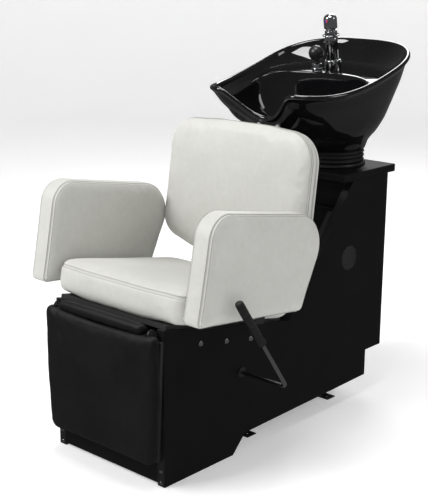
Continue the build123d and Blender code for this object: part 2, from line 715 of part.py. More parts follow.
bracket_rear = BACK_THICKNESS + BACK_BOARD + BRACKET / 2
bracket_foot = on_seat(370.0, -BRACKET / 2)
bracket_corner = on_seat(521.0, -BRACKET / 2)
bracket_top = on_back(bracket_rear, 230.0)
bracket_low = on_back(bracket_rear, -120.0)
with BuildPart() as back_brackets:
    for x in (BACK_BRACKET_X - 25, -BACK_BRACKET_X - 25):
        with BuildSketch(side_plane(x)):
            with BuildLine():
                FilletPolyline(bracket_foot, bracket_corner, bracket_low, bracket_top, radius=18)
            trace(line_width=BRACKET)
        extrude(amount=50)
write(back_brackets, "back_brackets")

# ------------------------------------------------------------------ bowl foot and tilt joint
FOOT_X, FOOT_Y = 164.0, 118.0
with BuildPart() as foot_ring:
    with BuildSketch(level_plane(DECK_TOP, BOWL_BEHIND)):
        oval(FOOT_X, FOOT_Y, FOOT_Y, 2.3)
    extrude(amount=12)
    with BuildSketch(level_plane(DECK_TOP, BOWL_BEHIND)):
        oval(FOOT_X - 24, FOOT_Y - 22, FOOT_Y - 22, 2.3)
    extrude(amount=12, mode=Mode.SUBTRACT)
    fillet(foot_ring.edges().group_by(Axis.Z)[-1].sort_by(SortBy.LENGTH)[-1], 3)
write(foot_ring, "foot_ring")

BOOT_LOW, BOOT_TOP = DECK_TOP + 12.0, BOWL_FOOT - 0.5
with BuildPart() as neck_boot:
    with BuildSketch(level_plane(BOOT_LOW, BOWL_BEHIND)):
        oval(FOOT_X - 5, FOOT_Y - 5, FOOT_Y - 5, 2.3)
    extrude(amount=BOOT_TOP - BOOT_LOW)
    with BuildSketch(level_plane(BOOT_LOW, BOWL_BEHIND)):
        oval(FOOT_X - 15, FOOT_Y - 15, FOOT_Y - 15, 2.3)
    extrude(amount=BOOT_TOP - BOOT_LOW, mode=Mode.SUBTRACT)
write(neck_boot, "neck_boot")

TILT_EAR_X = 70.0
TILT_AT = (BOWL_BEHIND, TILT_PIVOT_HEIGHT)
TILT_PIN = 10.0
with BuildPart() as tilt_bracket:
    for side, x in ((1, TILT_EAR_X), (-1, -TILT_EAR_X - 6)):
        with BuildSketch(side_plane(x)):
            with BuildLine():
                Polyline((BOWL_BEHIND - 34, DECK_TOP), (BOWL_BEHIND + 34, DECK_TOP),
                         (BOWL_BEHIND + 14, TILT_PIVOT_HEIGHT + 12), (BOWL_BEHIND - 14, TILT_PIVOT_HEIGHT + 12),
                         close=True)
            make_face()
            with Locations(TILT_AT):
                Circle(TILT_PIN / 2, mode=Mode.SUBTRACT)
        extrude(amount=6)
        with BuildSketch(level_plane(DECK_TOP, BOWL_BEHIND)):
            with Locations((side * (TILT_EAR_X + 18), 0)):
                Rectangle(24, 60)
        extrude(amount=5)
write(tilt_bracket, "tilt_bracket")

with BuildPart() as tilt_pins:
    for side in (-1, 1):
        cross_pin(side * (TILT_EAR_X - 9), side * (TILT_EAR_X + 8), TILT_AT, TILT_PIN)
write(tilt_pins, "tilt_pins")

POCKET_TOP = 828.0
with BuildPart() as tilt_hanger:
    for x in (TILT_EAR_X - 7, -TILT_EAR_X + 1):
        with BuildSketch(side_plane(x)):
            with BuildLine():
                Polyline((BOWL_BEHIND - 26, POCKET_TOP), (BOWL_BEHIND - 13, TILT_PIVOT_HEIGHT - 13),
                         (BOWL_BEHIND + 13, TILT_PIVOT_HEIGHT - 13), (BOWL_BEHIND + 26, POCKET_TOP), close=True)
            make_face()
            with Locations(TILT_AT):
                Circle(TILT_PIN / 2 + RUNNING, mode=Mode.SUBTRACT)
        extrude(amount=6)
    with BuildSketch(level_plane(POCKET_TOP - 5, BOWL_BEHIND)):
        Rectangle(2 * TILT_EAR_X - 2, 34)
    extrude(amount=5)
write(tilt_hanger, "tilt_hanger")

# ------------------------------------------------------------------ bowl
STUD_X = (-36.0, 36.0)
STUD, STUD_LENGTH = 7.0, 16.0


def stud_plane(x):
    """Plane at the inner end of a neck-rest stud at x, facing out of the bowl's front wall."""
    return Plane(origin=(x, FRONT + 700, 889), x_dir=(1, 0, 0), z_dir=(0, -1, -0.35))


deck_at_tap = DECK_HEIGHT + (TAP_BEHIND - DECK_BEHIND) * tan(radians(DECK_TILT))
RIM = leaning_plane(RIM_BEHIND, RIM_HEIGHT, RIM_TILT)
with BuildPart() as bowl:
    with BuildSketch(level_plane(BOWL_FOOT, BOWL_BEHIND)):
        oval(FOOT_X - 4, FOOT_Y - 4, FOOT_Y - 4, 2.3)
    with BuildSketch(leaning_plane(926, 832, 1)):
        oval(172, 152, 150, 2.2)
    with BuildSketch(leaning_plane(927, 872, 3)):
        oval(206, 206, 204, 2.15)
    with BuildSketch(leaning_plane(920, 940, 6)):
        oval(240, 250, 236, 2.3)
    with BuildSketch(RIM):
        oval(262, 292, 292, 2.45)
    loft()
    # underside pocket for the tilt joint and the hoses
    with BuildSketch(level_plane(BOWL_FOOT, BOWL_BEHIND)):
        oval(132, 86, 86, 2.6)
    extrude(amount=POCKET_TOP - BOWL_FOOT, mode=Mode.SUBTRACT)
    with BuildSketch(level_plane(POCKET_TOP - 6, 1013)):
        oval(100, 34, 28, 2.4)
    with BuildSketch(level_plane(880, 1040)):
        oval(150, 61, 64, 2.4)
    with BuildSketch(level_plane(940, 1050)):
        oval(176, 71, 76, 2.4)
    with BuildSketch(leaning_plane(1050, 1026, DECK_TILT)):
        oval(186, 72, 74, 2.5)
    loft(mode=Mode.SUBTRACT)
    # wash space above the tap deck
    deck_middle = DECK_HEIGHT + (RIM_BEHIND - DECK_BEHIND) * tan(radians(DECK_TILT))
    with BuildSketch(leaning_plane(RIM_BEHIND, deck_middle, DECK_TILT)):
        oval(236, 240, 232, 2.5)
    with BuildSketch(RIM):
        oval(249, 279, 279, 2.45)
    loft(mode=Mode.SUBTRACT)
    with BuildSketch(RIM):
        oval(249, 279, 279, 2.45)
    extrude(amount=12, mode=Mode.SUBTRACT)
    # basin in front of the deck
    with BuildSketch(level_plane(849, 848)):
        oval(128, 74, 68, 2.4)
    with BuildSketch(leaning_plane(833, 905, 3)):
        oval(198, 122, 118, 2.5)
    with BuildSketch(leaning_plane(798, 1001.2, DECK_TILT)):
        oval(224, 160, 162, 2.6)
    loft(mode=Mode.SUBTRACT)
    with BuildSketch(leaning_plane(798, 1001.2, DECK_TILT)):
        oval(224, 160, 162, 2.6)
    extrude(amount=14, mode=Mode.SUBTRACT)
    # neck rest: a round scoop through the front wall
    with BuildSketch(Plane(origin=(0, FRONT + 540, 1030), x_dir=(-1, 0, 0), z_dir=(0, 1, 0.16))):
        Circle(124)
    extrude(amount=190, mode=Mode.SUBTRACT)
    # waste hole and tap holes
    with BuildSketch(level_plane(BOWL_FOOT, DRAIN_BEHIND)):
        Circle(22)
    extrude(amount=80, mode=Mode.SUBTRACT)
    with BuildSketch(leaning_plane(TAP_BEHIND, deck_at_tap, DECK_TILT)):
        Circle(15)
        with Locations((SPRAY_X, 0)):
            Circle(12)
    extrude(amount=-60, mode=Mode.SUBTRACT)
    # sockets of the neck-rest studs
    for x in STUD_X:
        with BuildSketch(stud_plane(x)):
            Circle(STUD)
        extrude(amount=STUD_LENGTH, mode=Mode.SUBTRACT)
write(bowl, "bowl")

# ------------------------------------------------------------------ waste
BASIN_FLOOR = 849.0
STRAINER_SEAT = BASIN_FLOOR + 1.5
with BuildPart() as drain_flange:
    with BuildSketch(level_plane(BASIN_FLOOR, DRAIN_BEHIND)):
        Circle(33)
    extrude(amount=4)
    with BuildSketch(level_plane(BASIN_FLOOR, DRAIN_BEHIND)):
        Circle(21.9)
    extrude(amount=BASIN_FLOOR - 806, dir=(0, 0, -1))
    with BuildSketch(level_plane(STRAINER_SEAT, DRAIN_BEHIND)):
        Circle(26)
    extrude(amount=10, mode=Mode.SUBTRACT)
    with BuildSketch(level_plane(BASIN_FLOOR - 50, DRAIN_BEHIND)):
        Circle(16)
    extrude(amount=60, mode=Mode.SUBTRACT)
write(drain_flange, "drain_flange")

with BuildPart() as strainer:
    with BuildSketch(level_plane(STRAINER_SEAT, DRAIN_BEHIND)):
        Circle(25.7)
        with PolarLocations(8.5, 6):
            Circle(3, mode=Mode.SUBTRACT)
    extrude(amount=3)
    with BuildSketch(level_plane(STRAINER_SEAT + 3, DRAIN_BEHIND)):
        Circle(4)
    extrude(amount=7)
write(strainer, "strainer")

with BuildPart() as waste_nut:
    with BuildSketch(level_plane(810, DRAIN_BEHIND)):
        RegularPolygon(30, 6)
        Circle(22, mode=Mode.SUBTRACT)
    extrude(amount=POCKET_TOP - 810)
write(waste_nut, "waste_nut")

TAIL_LOW, TAIL_COLLAR, TAIL_TOP = 600.0, 700.0, 835.0
TAIL = 16.0
with BuildPart() as waste_tailpiece:
    with BuildSketch(level_plane(TAIL_LOW, DRAIN_BEHIND)):
        Circle(TAIL)
    extrude(amount=TAIL_TOP - TAIL_LOW)
    with BuildSketch(level_plane(TAIL_COLLAR, DRAIN_BEHIND)):
        Circle(TAIL + 4)
    extrude(amount=10)
    with BuildSketch(level_plane(TAIL_LOW, DRAIN_BEHIND)):
        Circle(TAIL - 2)
    extrude(amount=TAIL_TOP - TAIL_LOW, mode=Mode.SUBTRACT)
write(waste_tailpiece, "waste_tailpiece")

# ------------------------------------------------------------------ tap and hand spray
TAP = leaning_plane(TAP_BEHIND, deck_at_tap, DECK_TILT)
SPRAY = leaning_plane(TAP_BEHIND, deck_at_tap, DECK_TILT, x=SPRAY_X)
TAP_BODY = 20.0
TAP_TALL = 112.0
RING_TOP = TAP_TALL + 4.0
SPINDLE = 6.0
BALL_HEIGHT = 139.0
BALL = 16.5
TAP_PIN = 18.5               # half the length of the handle's pivot pin
TAP_HINGE = Plane(origin=TAP.offset(BALL_HEIGHT).origin, z_dir=(1, 0, 0))

with BuildPart() as tap_base_nut:
    with BuildSketch(TAP):
        RegularPolygon(27, 18)
        Circle(TAP_BODY, mode=Mode.SUBTRACT)
    extrude(amount=36)
    chamfer(tap_base_nut.faces().sort_by(Axis.Z)[-1].outer_wire().edges(), 1)
write(tap_base_nut, "tap_base_nut")

with BuildPart() as tap_body:
    with BuildSketch(TAP):
        Circle(TAP_BODY)
    extrude(amount=TAP_TALL)
    with BuildSketch(TAP.offset(TAP_TALL)):
        Circle(28)
    extrude(amount=RING_TOP - TAP_TALL)
    fillet(tap_body.edges().filter_by(GeomType.CIRCLE).sort_by(Axis.Z)[-1], 1.8)
    with BuildSketch(TAP):
        Circle(14.7)
    extrude(amount=-44)
    with BuildSketch(TAP.offset(RING_TOP - 30)):
        Circle(SPINDLE + RUNNING)
    extrude(amount=40, mode=Mode.SUBTRACT)
write(tap_body, "tap_body")

with BuildPart() as tap_turret:
    with BuildSketch(TAP.offset(RING_TOP - 28)):
        Circle(SPINDLE)
    extrude(amount=30)
    with BuildSketch(TAP.offset(RING_TOP + 0.3)):
        Circle(TAP_BODY)
    extrude(amount=10)
    with BuildSketch(TAP.offset(RING_TOP + 10)):
        Circle(11)
    extrude(amount=BALL_HEIGHT - RING_TOP - 10)
    with Locations(TAP.offset(BALL_HEIGHT).location):
        Sphere(BALL)
    with BuildSketch(TAP_HINGE):
        Circle(2)
    extrude(amount=TAP_PIN, both=True)
write(tap_turret, "tap_turret")

HANDLE = 21.5
handle_front = Vector(0, -cos(radians(DECK_TILT)), -sin(radians(DECK_TILT)))
DOT = Plane(origin=TAP.offset(BALL_HEIGHT + 22).origin + handle_front * (HANDLE - 0.8), z_dir=handle_front)
with BuildPart() as tap_handle:
    with BuildSketch(TAP.offset(BALL_HEIGHT - 4)):
        Circle(HANDLE)
    extrude(amount=37)
    with BuildSketch(TAP.offset(BALL_HEIGHT + 33)):
        Circle(HANDLE)
    extrude(amount=9, taper=42)
    with Locations(TAP.offset(BALL_HEIGHT).location):
        Sphere(BALL + 0.4, mode=Mode.SUBTRACT)
    with BuildSketch(TAP.offset(BALL_HEIGHT - 10)):
        Circle(BALL + 0.4)
    extrude(amount=10, mode=Mode.SUBTRACT)
    with BuildSketch(TAP_HINGE):
        Circle(2 + RUNNING)
    extrude(amount=TAP_PIN + 0.5, both=True, mode=Mode.SUBTRACT)
    with BuildSketch(DOT):
        Circle(5)
    extrude(amount=3, mode=Mode.SUBTRACT)
write(tap_handle, "tap_handle")

with BuildPart() as tap_indicator:
    with BuildSketch(DOT):
        Circle(5)
    extrude(amount=1.8)
write(tap_indicator, "tap_indicator")

with BuildPart() as spray_holder:
    with BuildSketch(SPRAY):
        Circle(19)
    extrude(amount=18)
    with BuildSketch(SPRAY):
        Circle(11.8)
    extrude(amount=-40)
    with BuildSketch(SPRAY.offset(-42)):
        Circle(9)
    extrude(amount=80, mode=Mode.SUBTRACT)
write(spray_holder, "spray_holder")

with BuildPart() as spray_head:
    with BuildSketch(SPRAY.offset(-6)):
        Circle(9 - RUNNING)
    extrude(amount=34)
    with BuildSketch(SPRAY.offset(18.3)):
        Circle(13)
    extrude(amount=16)
    with Locations(SPRAY.offset(52).location):
        Sphere(25)
write(spray_head, "spray_head")

with BuildPart() as rest_studs:
    for x in STUD_X:
        with BuildSketch(stud_plane(x)):
            Circle(STUD)
        extrude(amount=STUD_LENGTH)
write(rest_studs, "rest_studs")
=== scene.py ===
"""Looks of a shampoo backwash unit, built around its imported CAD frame.

The sitter faces -Y, the bowl is at +Y and +Z is up.  All lengths are in metres.  Side outlines are
written as (behind, height): the distance behind the cabinet's front edge and the height above the floor.
"""

import json
import logging
import math
from dataclasses import dataclass, field
from enum import Enum
from typing import Callable, Iterable, Sequence

import bmesh
import bpy
import numpy as np
from mathutils import Matrix, Vector
from mathutils.bvhtree import BVHTree
from mathutils.kdtree import KDTree

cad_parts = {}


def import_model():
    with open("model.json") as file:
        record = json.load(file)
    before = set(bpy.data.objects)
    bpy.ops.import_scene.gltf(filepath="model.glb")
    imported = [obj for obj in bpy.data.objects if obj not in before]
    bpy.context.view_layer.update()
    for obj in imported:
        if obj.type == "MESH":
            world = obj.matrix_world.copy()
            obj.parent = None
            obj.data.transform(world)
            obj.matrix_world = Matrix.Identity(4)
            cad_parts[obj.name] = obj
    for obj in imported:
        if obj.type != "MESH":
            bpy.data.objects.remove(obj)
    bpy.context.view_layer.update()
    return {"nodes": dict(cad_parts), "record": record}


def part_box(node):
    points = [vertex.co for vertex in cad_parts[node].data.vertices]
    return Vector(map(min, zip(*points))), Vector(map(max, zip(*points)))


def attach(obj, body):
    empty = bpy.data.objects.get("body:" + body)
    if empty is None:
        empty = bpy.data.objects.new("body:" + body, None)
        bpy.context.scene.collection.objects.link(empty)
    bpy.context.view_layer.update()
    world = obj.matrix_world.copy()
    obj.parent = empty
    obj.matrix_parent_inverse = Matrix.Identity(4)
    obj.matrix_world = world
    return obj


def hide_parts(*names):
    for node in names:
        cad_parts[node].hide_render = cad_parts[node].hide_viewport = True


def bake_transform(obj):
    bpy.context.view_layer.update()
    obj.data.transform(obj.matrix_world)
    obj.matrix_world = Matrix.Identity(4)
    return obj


log = logging.getLogger("backwash")

FRONT = -0.560                      # y of the cabinet's front edge
INNER, HALF = 0.188, 0.215          # inner and outer faces of the side panels
SEAT_TILT = math.radians(10.6)
SEAT_FRONT_HEIGHT = 0.447
BACK_TILT = math.radians(8.0)
BACK_AT = (0.477, 0.500)
DECK_TILT = math.radians(9.0)
Point2 = tuple[float, float]
Colour = tuple[float, float, float]


class Body(str, Enum):
    """The moving bodies that pieces ride on."""

    CABINET = "cabinet"
    LEVER = "lever"
    UPPER = "upper_links"
    REST = "leg_rest"
    BOWL = "bowl"
    SPRAY = "spray_head"
    HANDLE = "tap_handle"
    TURRET = "tap_turret"


class Pattern(Enum):
    """The relief that a finish carries."""

    GRAIN = "grain"
    PORES = "pores"
    BRUSHED = "brushed"
    GLASSY = "glassy"
    FIBRE = "fibre"


# ---------------------------------------------------------------- finishes
class Nodes:
    """A small helper that adds and wires shader nodes of one material."""

    def __init__(self, material: bpy.types.Material) -> None:
        """Empty the material's tree and add the shader and the object coordinates."""
        material.use_nodes = True
        self.tree = material.node_tree
        self.tree.nodes.clear()
        self.output = self.add("ShaderNodeOutputMaterial")
        self.shader = self.add("ShaderNodeBsdfPrincipled")
        self.link(self.shader.outputs["BSDF"], self.output.inputs["Surface"])
        self.where = self.add("ShaderNodeTexCoord").outputs["Object"]

    def add(self, kind: str, **settings: object) -> bpy.types.Node:
        """Add a node of a kind and set its properties."""
        node = self.tree.nodes.new(kind)
        for name, value in settings.items():
            setattr(node, name, value)
        return node

    def link(self, start: bpy.types.NodeSocket, end: bpy.types.NodeSocket) -> None:
        """Join an output socket to an input socket."""
        self.tree.links.new(start, end)

    def stretched(self, scale: tuple[float, float, float]) -> bpy.types.NodeSocket:
        """Return the object coordinates scaled along each axis."""
        mapping = self.add("ShaderNodeMapping")
        mapping.inputs["Scale"].default_value = scale
        self.link(self.where, mapping.inputs["Vector"])
        return mapping.outputs["Vector"]

    def noise(self, scale: float, detail: float = 3.0,
              place: bpy.types.NodeSocket | None = None) -> bpy.types.NodeSocket:
        """Return a noise value with so many features per metre."""
        node = self.add("ShaderNodeTexNoise")
        node.inputs["Scale"].default_value = scale
        node.inputs["Detail"].default_value = detail
        self.link(place or self.where, node.inputs["Vector"])
        return node.outputs["Fac"]

    def cells(self, scale: float) -> bpy.types.NodeSocket:
        """Return the distance to the edge of small irregular cells, which reads as leather grain."""
        node = self.add("ShaderNodeTexVoronoi", feature="DISTANCE_TO_EDGE")
        node.inputs["Scale"].default_value = scale
        self.link(self.where, node.inputs["Vector"])
        return node.outputs["Distance"]

    def ramp(self, value: bpy.types.NodeSocket, low: Colour, high: Colour, start: float = 0.3,
             end: float = 0.7) -> bpy.types.NodeSocket:
        """Turn a value into a colour between low and high."""
        node = self.add("ShaderNodeValToRGB")
        node.color_ramp.elements[0].position = start
        node.color_ramp.elements[0].color = (*low, 1)
        node.color_ramp.elements[1].position = end
        node.color_ramp.elements[1].color = (*high, 1)
        self.link(value, node.inputs["Fac"])
        return node.outputs["Color"]

    def between(self, value: bpy.types.NodeSocket, low: float, high: float) -> bpy.types.NodeSocket:
        """Map a value from 0..1 to low..high."""
        node = self.add("ShaderNodeMapRange")
        node.inputs["To Min"].default_value = low
        node.inputs["To Max"].default_value = high
        self.link(value, node.inputs["Value"])
        return node.outputs["Result"]

    def bump(self, height: bpy.types.NodeSocket, distance: float, strength: float,
             under: bpy.types.NodeSocket | None = None) -> bpy.types.NodeSocket:
        """Return a normal bent by a height, on top of another normal when one is given."""
        node = self.add("ShaderNodeBump")
        node.inputs["Strength"].default_value = strength
        node.inputs["Distance"].default_value = distance
        self.link(height, node.inputs["Height"])
        if under is not None:
            self.link(under, node.inputs["Normal"])
        return node.outputs["Normal"]


@dataclass(frozen=True)
class Finish:
    """One surface finish: its colours, gloss and relief."""

    name: str
    dark: Colour
    light: Colour
    roughness: tuple[float, float]
    pattern: Pattern
    metallic: float = 0.0
    coat: float = 0.0
    sheen: float = 0.0
    relief: float = 0.0003
    grain: float = 900.0
    specular: float = 0.5

    def material(self) -> bpy.types.Material:
        """Return this finish's material, making it on first use."""
        found = bpy.data.materials.get(self.name)
        if found:
            return found
        made = bpy.data.materials.new(self.name)
        nodes = Nodes(made)
        shader = nodes.shader
        shader.inputs["Metallic"].default_value = self.metallic
        shader.inputs["Coat Weight"].default_value = self.coat
        shader.inputs["Coat Roughness"].default_value = 0.04
        shader.inputs["Specular IOR Level"].default_value = self.specular
        shader.inputs["Sheen Weight"].default_value = self.sheen
        shader.inputs["Sheen Roughness"].default_value = 0.4
        blotches = nodes.noise(9.0, 4.0)
        if self.pattern is Pattern.GRAIN:
            grain = nodes.cells(self.grain)
            folds = nodes.noise(26.0, 2.0)
            fine = nodes.noise(self.grain * 1.7, 2.0)
            normal = nodes.bump(folds, 0.0012, 0.25)
            normal = nodes.bump(grain, self.relief, 0.55, normal)
            normal = nodes.bump(fine, self.relief * 0.5, 0.35, normal)
            tone = nodes.noise(60.0, 6.0)
        elif self.pattern is Pattern.BRUSHED:
            tone = nodes.noise(700.0, 3.0, nodes.stretched((1.0, 0.06, 1.0)))
            normal = nodes.bump(tone, self.relief, 0.3)
        elif self.pattern is Pattern.FIBRE:
            tone = nodes.noise(90.0, 6.0, nodes.stretched((1.0, 0.05, 1.0)))
            normal = nodes.bump(tone, self.relief, 0.5)
        elif self.pattern is Pattern.PORES:
            tone = nodes.noise(self.grain, 4.0)
            normal = nodes.bump(tone, self.relief, 0.4)
        else:
            tone = nodes.noise(14.0, 2.0)
            normal = nodes.bump(tone, self.relief, 0.15)
        mixed = nodes.add("ShaderNodeMath", operation="MULTIPLY_ADD")
        mixed.inputs[1].default_value = 0.5
        nodes.link(tone, mixed.inputs[0])
        half = nodes.between(blotches, 0.0, 0.5)
        nodes.link(half, mixed.inputs[2])
        nodes.link(nodes.ramp(mixed.outputs[0], self.dark, self.light), shader.inputs["Base Color"])
        nodes.link(nodes.between(mixed.outputs[0], *self.roughness), shader.inputs["Roughness"])
        nodes.link(normal, shader.inputs["Normal"])
        return made


@dataclass(frozen=True)
class HotColdFinish:
    """The tap's dot: warm on one half and cold on the other."""

    name: str = "hot_cold_dot"

    def material(self) -> bpy.types.Material:
        """Return the two-coloured glossy material."""
        made = bpy.data.materials.new(self.name)
        nodes = Nodes(made)
        split = nodes.add("ShaderNodeSeparateXYZ")
        nodes.link(nodes.where, split.inputs["Vector"])
        side = nodes.add("ShaderNodeMapRange")
        side.inputs["From Min"].default_value = -0.0004
        side.inputs["From Max"].default_value = 0.0004
        nodes.link(split.outputs["X"], side.inputs["Value"])
        nodes.link(nodes.ramp(side.outputs["Result"], (0.02, 0.05, 0.5), (0.6, 0.02, 0.02)),
                   nodes.shader.inputs["Base Color"])
        nodes.link(nodes.between(nodes.noise(300.0), 0.15, 0.25), nodes.shader.inputs["Roughness"])
        return made


CREAM = Finish("ivory_vinyl", (0.50, 0.498, 0.468), (0.56, 0.558, 0.528), (0.46, 0.60), Pattern.GRAIN,
               sheen=0.05, relief=0.00022, grain=750.0)
# The cream seams' thread is coloured near black: painted shade standing in for the shadow along the pressed seam
# valleys. The double stitching itself is real.
SEAM_THREAD_PAINTED_SHADE = Finish("seam_thread_painted_shade", (0.045, 0.045, 0.04), (0.09, 0.09, 0.08), (0.6, 0.8), Pattern.FIBRE, relief=0.0001)
BLACK_VINYL = Finish("jet_vinyl", (0.004, 0.004, 0.0045), (0.008, 0.008, 0.0085), (0.46, 0.6), Pattern.GRAIN,
                     specular=0.22, relief=0.0002, grain=750.0)
BLACK_THREAD = Finish("black_thread", (0.01, 0.01, 0.01), (0.03, 0.03, 0.03), (0.6, 0.8), Pattern.FIBRE,
                      relief=0.0001)
LAMINATE = Finish("black_laminate", (0.003, 0.003, 0.0033), (0.006, 0.006, 0.0063), (0.42, 0.54), Pattern.PORES,
                  specular=0.2, relief=0.00008, grain=1500.0)
EDGE_BAND = Finish("edge_band", (0.006, 0.006, 0.0065), (0.012, 0.012, 0.0125), (0.30, 0.40), Pattern.PORES,
                   specular=0.3, relief=0.00005, grain=900.0)
GLAZE = Finish("black_glaze", (0.0025, 0.0025, 0.003), (0.0045, 0.0045, 0.005), (0.03, 0.06), Pattern.GLASSY,
               coat=0.35, relief=0.0003)
CHROME = Finish("polished_chrome", (0.36, 0.365, 0.375), (0.50, 0.505, 0.515), (0.04, 0.09), Pattern.GLASSY,
                metallic=1.0, relief=0.0001)
STEEL = Finish("zinc_steel", (0.36, 0.37, 0.39), (0.55, 0.56, 0.58), (0.28, 0.42), Pattern.BRUSHED, metallic=1.0,
               relief=0.00006)
DARK_ROD = Finish("dark_steel_rod", (0.30, 0.30, 0.31), (0.45, 0.45, 0.46), (0.16, 0.26), Pattern.BRUSHED,
                  metallic=1.0, relief=0.00003)
RUBBER = Finish("black_rubber", (0.007, 0.007, 0.007), (0.014, 0.014, 0.014), (0.45, 0.6), Pattern.PORES,
                relief=0.00012, grain=1200.0)
PLASTIC = Finish("moulded_plastic", (0.009, 0.009, 0.01), (0.016, 0.016, 0.017), (0.28, 0.4), Pattern.PORES,
                 relief=0.00006, grain=1100.0)
PAINT = Finish("painted_frame", (0.014, 0.014, 0.015), (0.022, 0.022, 0.023), (0.35, 0.45), Pattern.PORES,
               relief=0.00006, grain=900.0)
BLACK_BOARD = Finish("black_board", (0.005, 0.005, 0.005), (0.010, 0.010, 0.010), (0.5, 0.65), Pattern.FIBRE,
                     relief=0.0001)
PLYWOOD = Finish("raw_plywood", (0.34, 0.22, 0.12), (0.52, 0.38, 0.23), (0.55, 0.7), Pattern.FIBRE, relief=0.0002)
STUD_FINISH = Finish("stud", (0.42, 0.42, 0.43), (0.55, 0.55, 0.56), (0.25, 0.35), Pattern.GLASSY, relief=0.0001)
DOT = HotColdFinish()
CAD_FINISHES = {"laminate": LAMINATE, "plywood": PLYWOOD, "black_board": BLACK_BOARD,
                "zinc": STEEL, "chrome": CHROME, "glaze": GLAZE,
                "cream_vinyl": CREAM, "black_vinyl": BLACK_VINYL, "rubber": RUBBER, "black_plastic": PLASTIC,
                "dot": DOT, "frame_paint": PAINT}


# ---------------------------------------------------------------- shapes
@dataclass(frozen=True)
class Place:
    """Axes of a flat drawing in space: across, up the drawing, and out of it."""

    origin: Vector
    u: Vector
    v: Vector
    w: Vector

    def at(self, u: float, v: float, w: float = 0.0) -> Vector:
        """Return the point at drawing coordinates (u, v) and w out of the drawing."""
        return self.origin + self.u * u + self.v * v + self.w * w


def side_place(x: float, outward: float) -> Place:
    """Return the side view's place at x, with w pointing to +X or -X."""
    return Place(Vector((x, FRONT, 0)), Vector((0, 1, 0)), Vector((0, 0, 1)), Vector((outward, 0, 0)))


def seat_place() -> Place:
    """Return the seat's place: across, along the seat from the front, square to it."""
    along = Vector((0, math.cos(SEAT_TILT), -math.sin(SEAT_TILT)))
    square = Vector((0, math.sin(SEAT_TILT), math.cos(SEAT_TILT)))
    return Place(Vector((0, FRONT, SEAT_FRONT_HEIGHT)), Vector((1, 0, 0)), along, square)


def back_place() -> Place:
    """Return the back's place: across, up the back, and forward towards the sitter."""
    up = Vector((0, math.sin(BACK_TILT), math.cos(BACK_TILT)))
    forward = Vector((0, -math.cos(BACK_TILT), math.sin(BACK_TILT)))
    return Place(Vector((0, FRONT + BACK_AT[0], BACK_AT[1])), Vector((1, 0, 0)), up, forward)


def rounded(corners: Sequence[tuple[float, float, float]], step: float = 0.004) -> list[Point2]:
    """Round a polygon's corners and spread points along it.

    Args:
        corners: (u, v, radius) of each corner, in order.
        step: the longest gap between two points.

    Returns:
        The points of the closed outline.
    """
    points: list[Vector] = []
    count = len(corners)
    for i, (u, v, radius) in enumerate(corners):
        here = Vector((u, v))
        before = Vector(corners[i - 1][:2]) - here
        after = Vector(corners[(i + 1) % count][:2]) - here
        half_angle = before.angle(after) / 2
        reach = min(radius / math.tan(half_angle), 0.49 * before.length, 0.49 * after.length)
        radius = reach * math.tan(half_angle)
        centre = here + (before.normalized() + after.normalized()).normalized() * (radius / math.sin(half_angle))
        start, end = here + before.normalized() * reach, here + after.normalized() * reach
        turns = max(3, int(radius * (math.pi - 2 * half_angle) / step))
        first, last = start - centre, end - centre
        sweep = first.angle_signed(last)
        points += [centre + Matrix.Rotation(-sweep * k / turns, 2) @ first for k in range(turns + 1)]
    return resampled([(p.x, p.y) for p in points], step)


def resampled(points: Sequence[Point2], step: float) -> list[Point2]:
    """Spread points evenly along a closed outline."""
    loop = np.array([*points, points[0]])
    gaps = np.hypot(*np.diff(loop, axis=0).T)
    along = np.concatenate([[0], np.cumsum(gaps)])
    places = np.linspace(0, along[-1], max(12, int(along[-1] / step)), endpoint=False)
    return list(zip(np.interp(places, along, loop[:, 0]), np.interp(places, along, loop[:, 1])))


def outward_normals(points: Sequence[Point2]) -> np.ndarray:
    """Return the unit outward normals of a closed outline, whichever way it runs."""
    loop = np.array(points)
    ahead = np.roll(loop, -1, axis=0) - np.roll(loop, 1, axis=0)
    normals = np.stack([ahead[:, 1], -ahead[:, 0]], axis=1)
    normals /= np.linalg.norm(normals, axis=1, keepdims=True)
    area = np.sum(loop[:, 0] * np.roll(loop[:, 1], -1) - np.roll(loop[:, 0], -1) * loop[:, 1])
    return normals if area > 0 else -normals


def new_object(name: str, mesh: bpy.types.Mesh, finish: Finish | HotColdFinish | None = None) -> bpy.types.Object:
    """Put a mesh into the scene as a smooth-shaded object with one finish."""
    made = bpy.data.objects.new(name, mesh)
    bpy.context.scene.collection.objects.link(made)
    if finish:
        mesh.materials.clear()
        mesh.materials.append(finish.material())
    mesh.polygons.foreach_set("use_smooth", [True] * len(mesh.polygons))
    return made


def mesh_from(name: str, points: Iterable[Vector], faces: Iterable[Sequence[int]]) -> bpy.types.Mesh:
    """Make a mesh whose faces all point outwards."""
    mesh = bpy.data.meshes.new(name)
    mesh.from_pydata([tuple(p) for p in points], [], list(faces))
    work = bmesh.new()
    work.from_mesh(mesh)
    bmesh.ops.remove_doubles(work, verts=work.verts, dist=1e-6)
    bmesh.ops.recalc_face_normals(work, faces=work.faces)
    work.to_mesh(mesh)
    work.free()
    return mesh


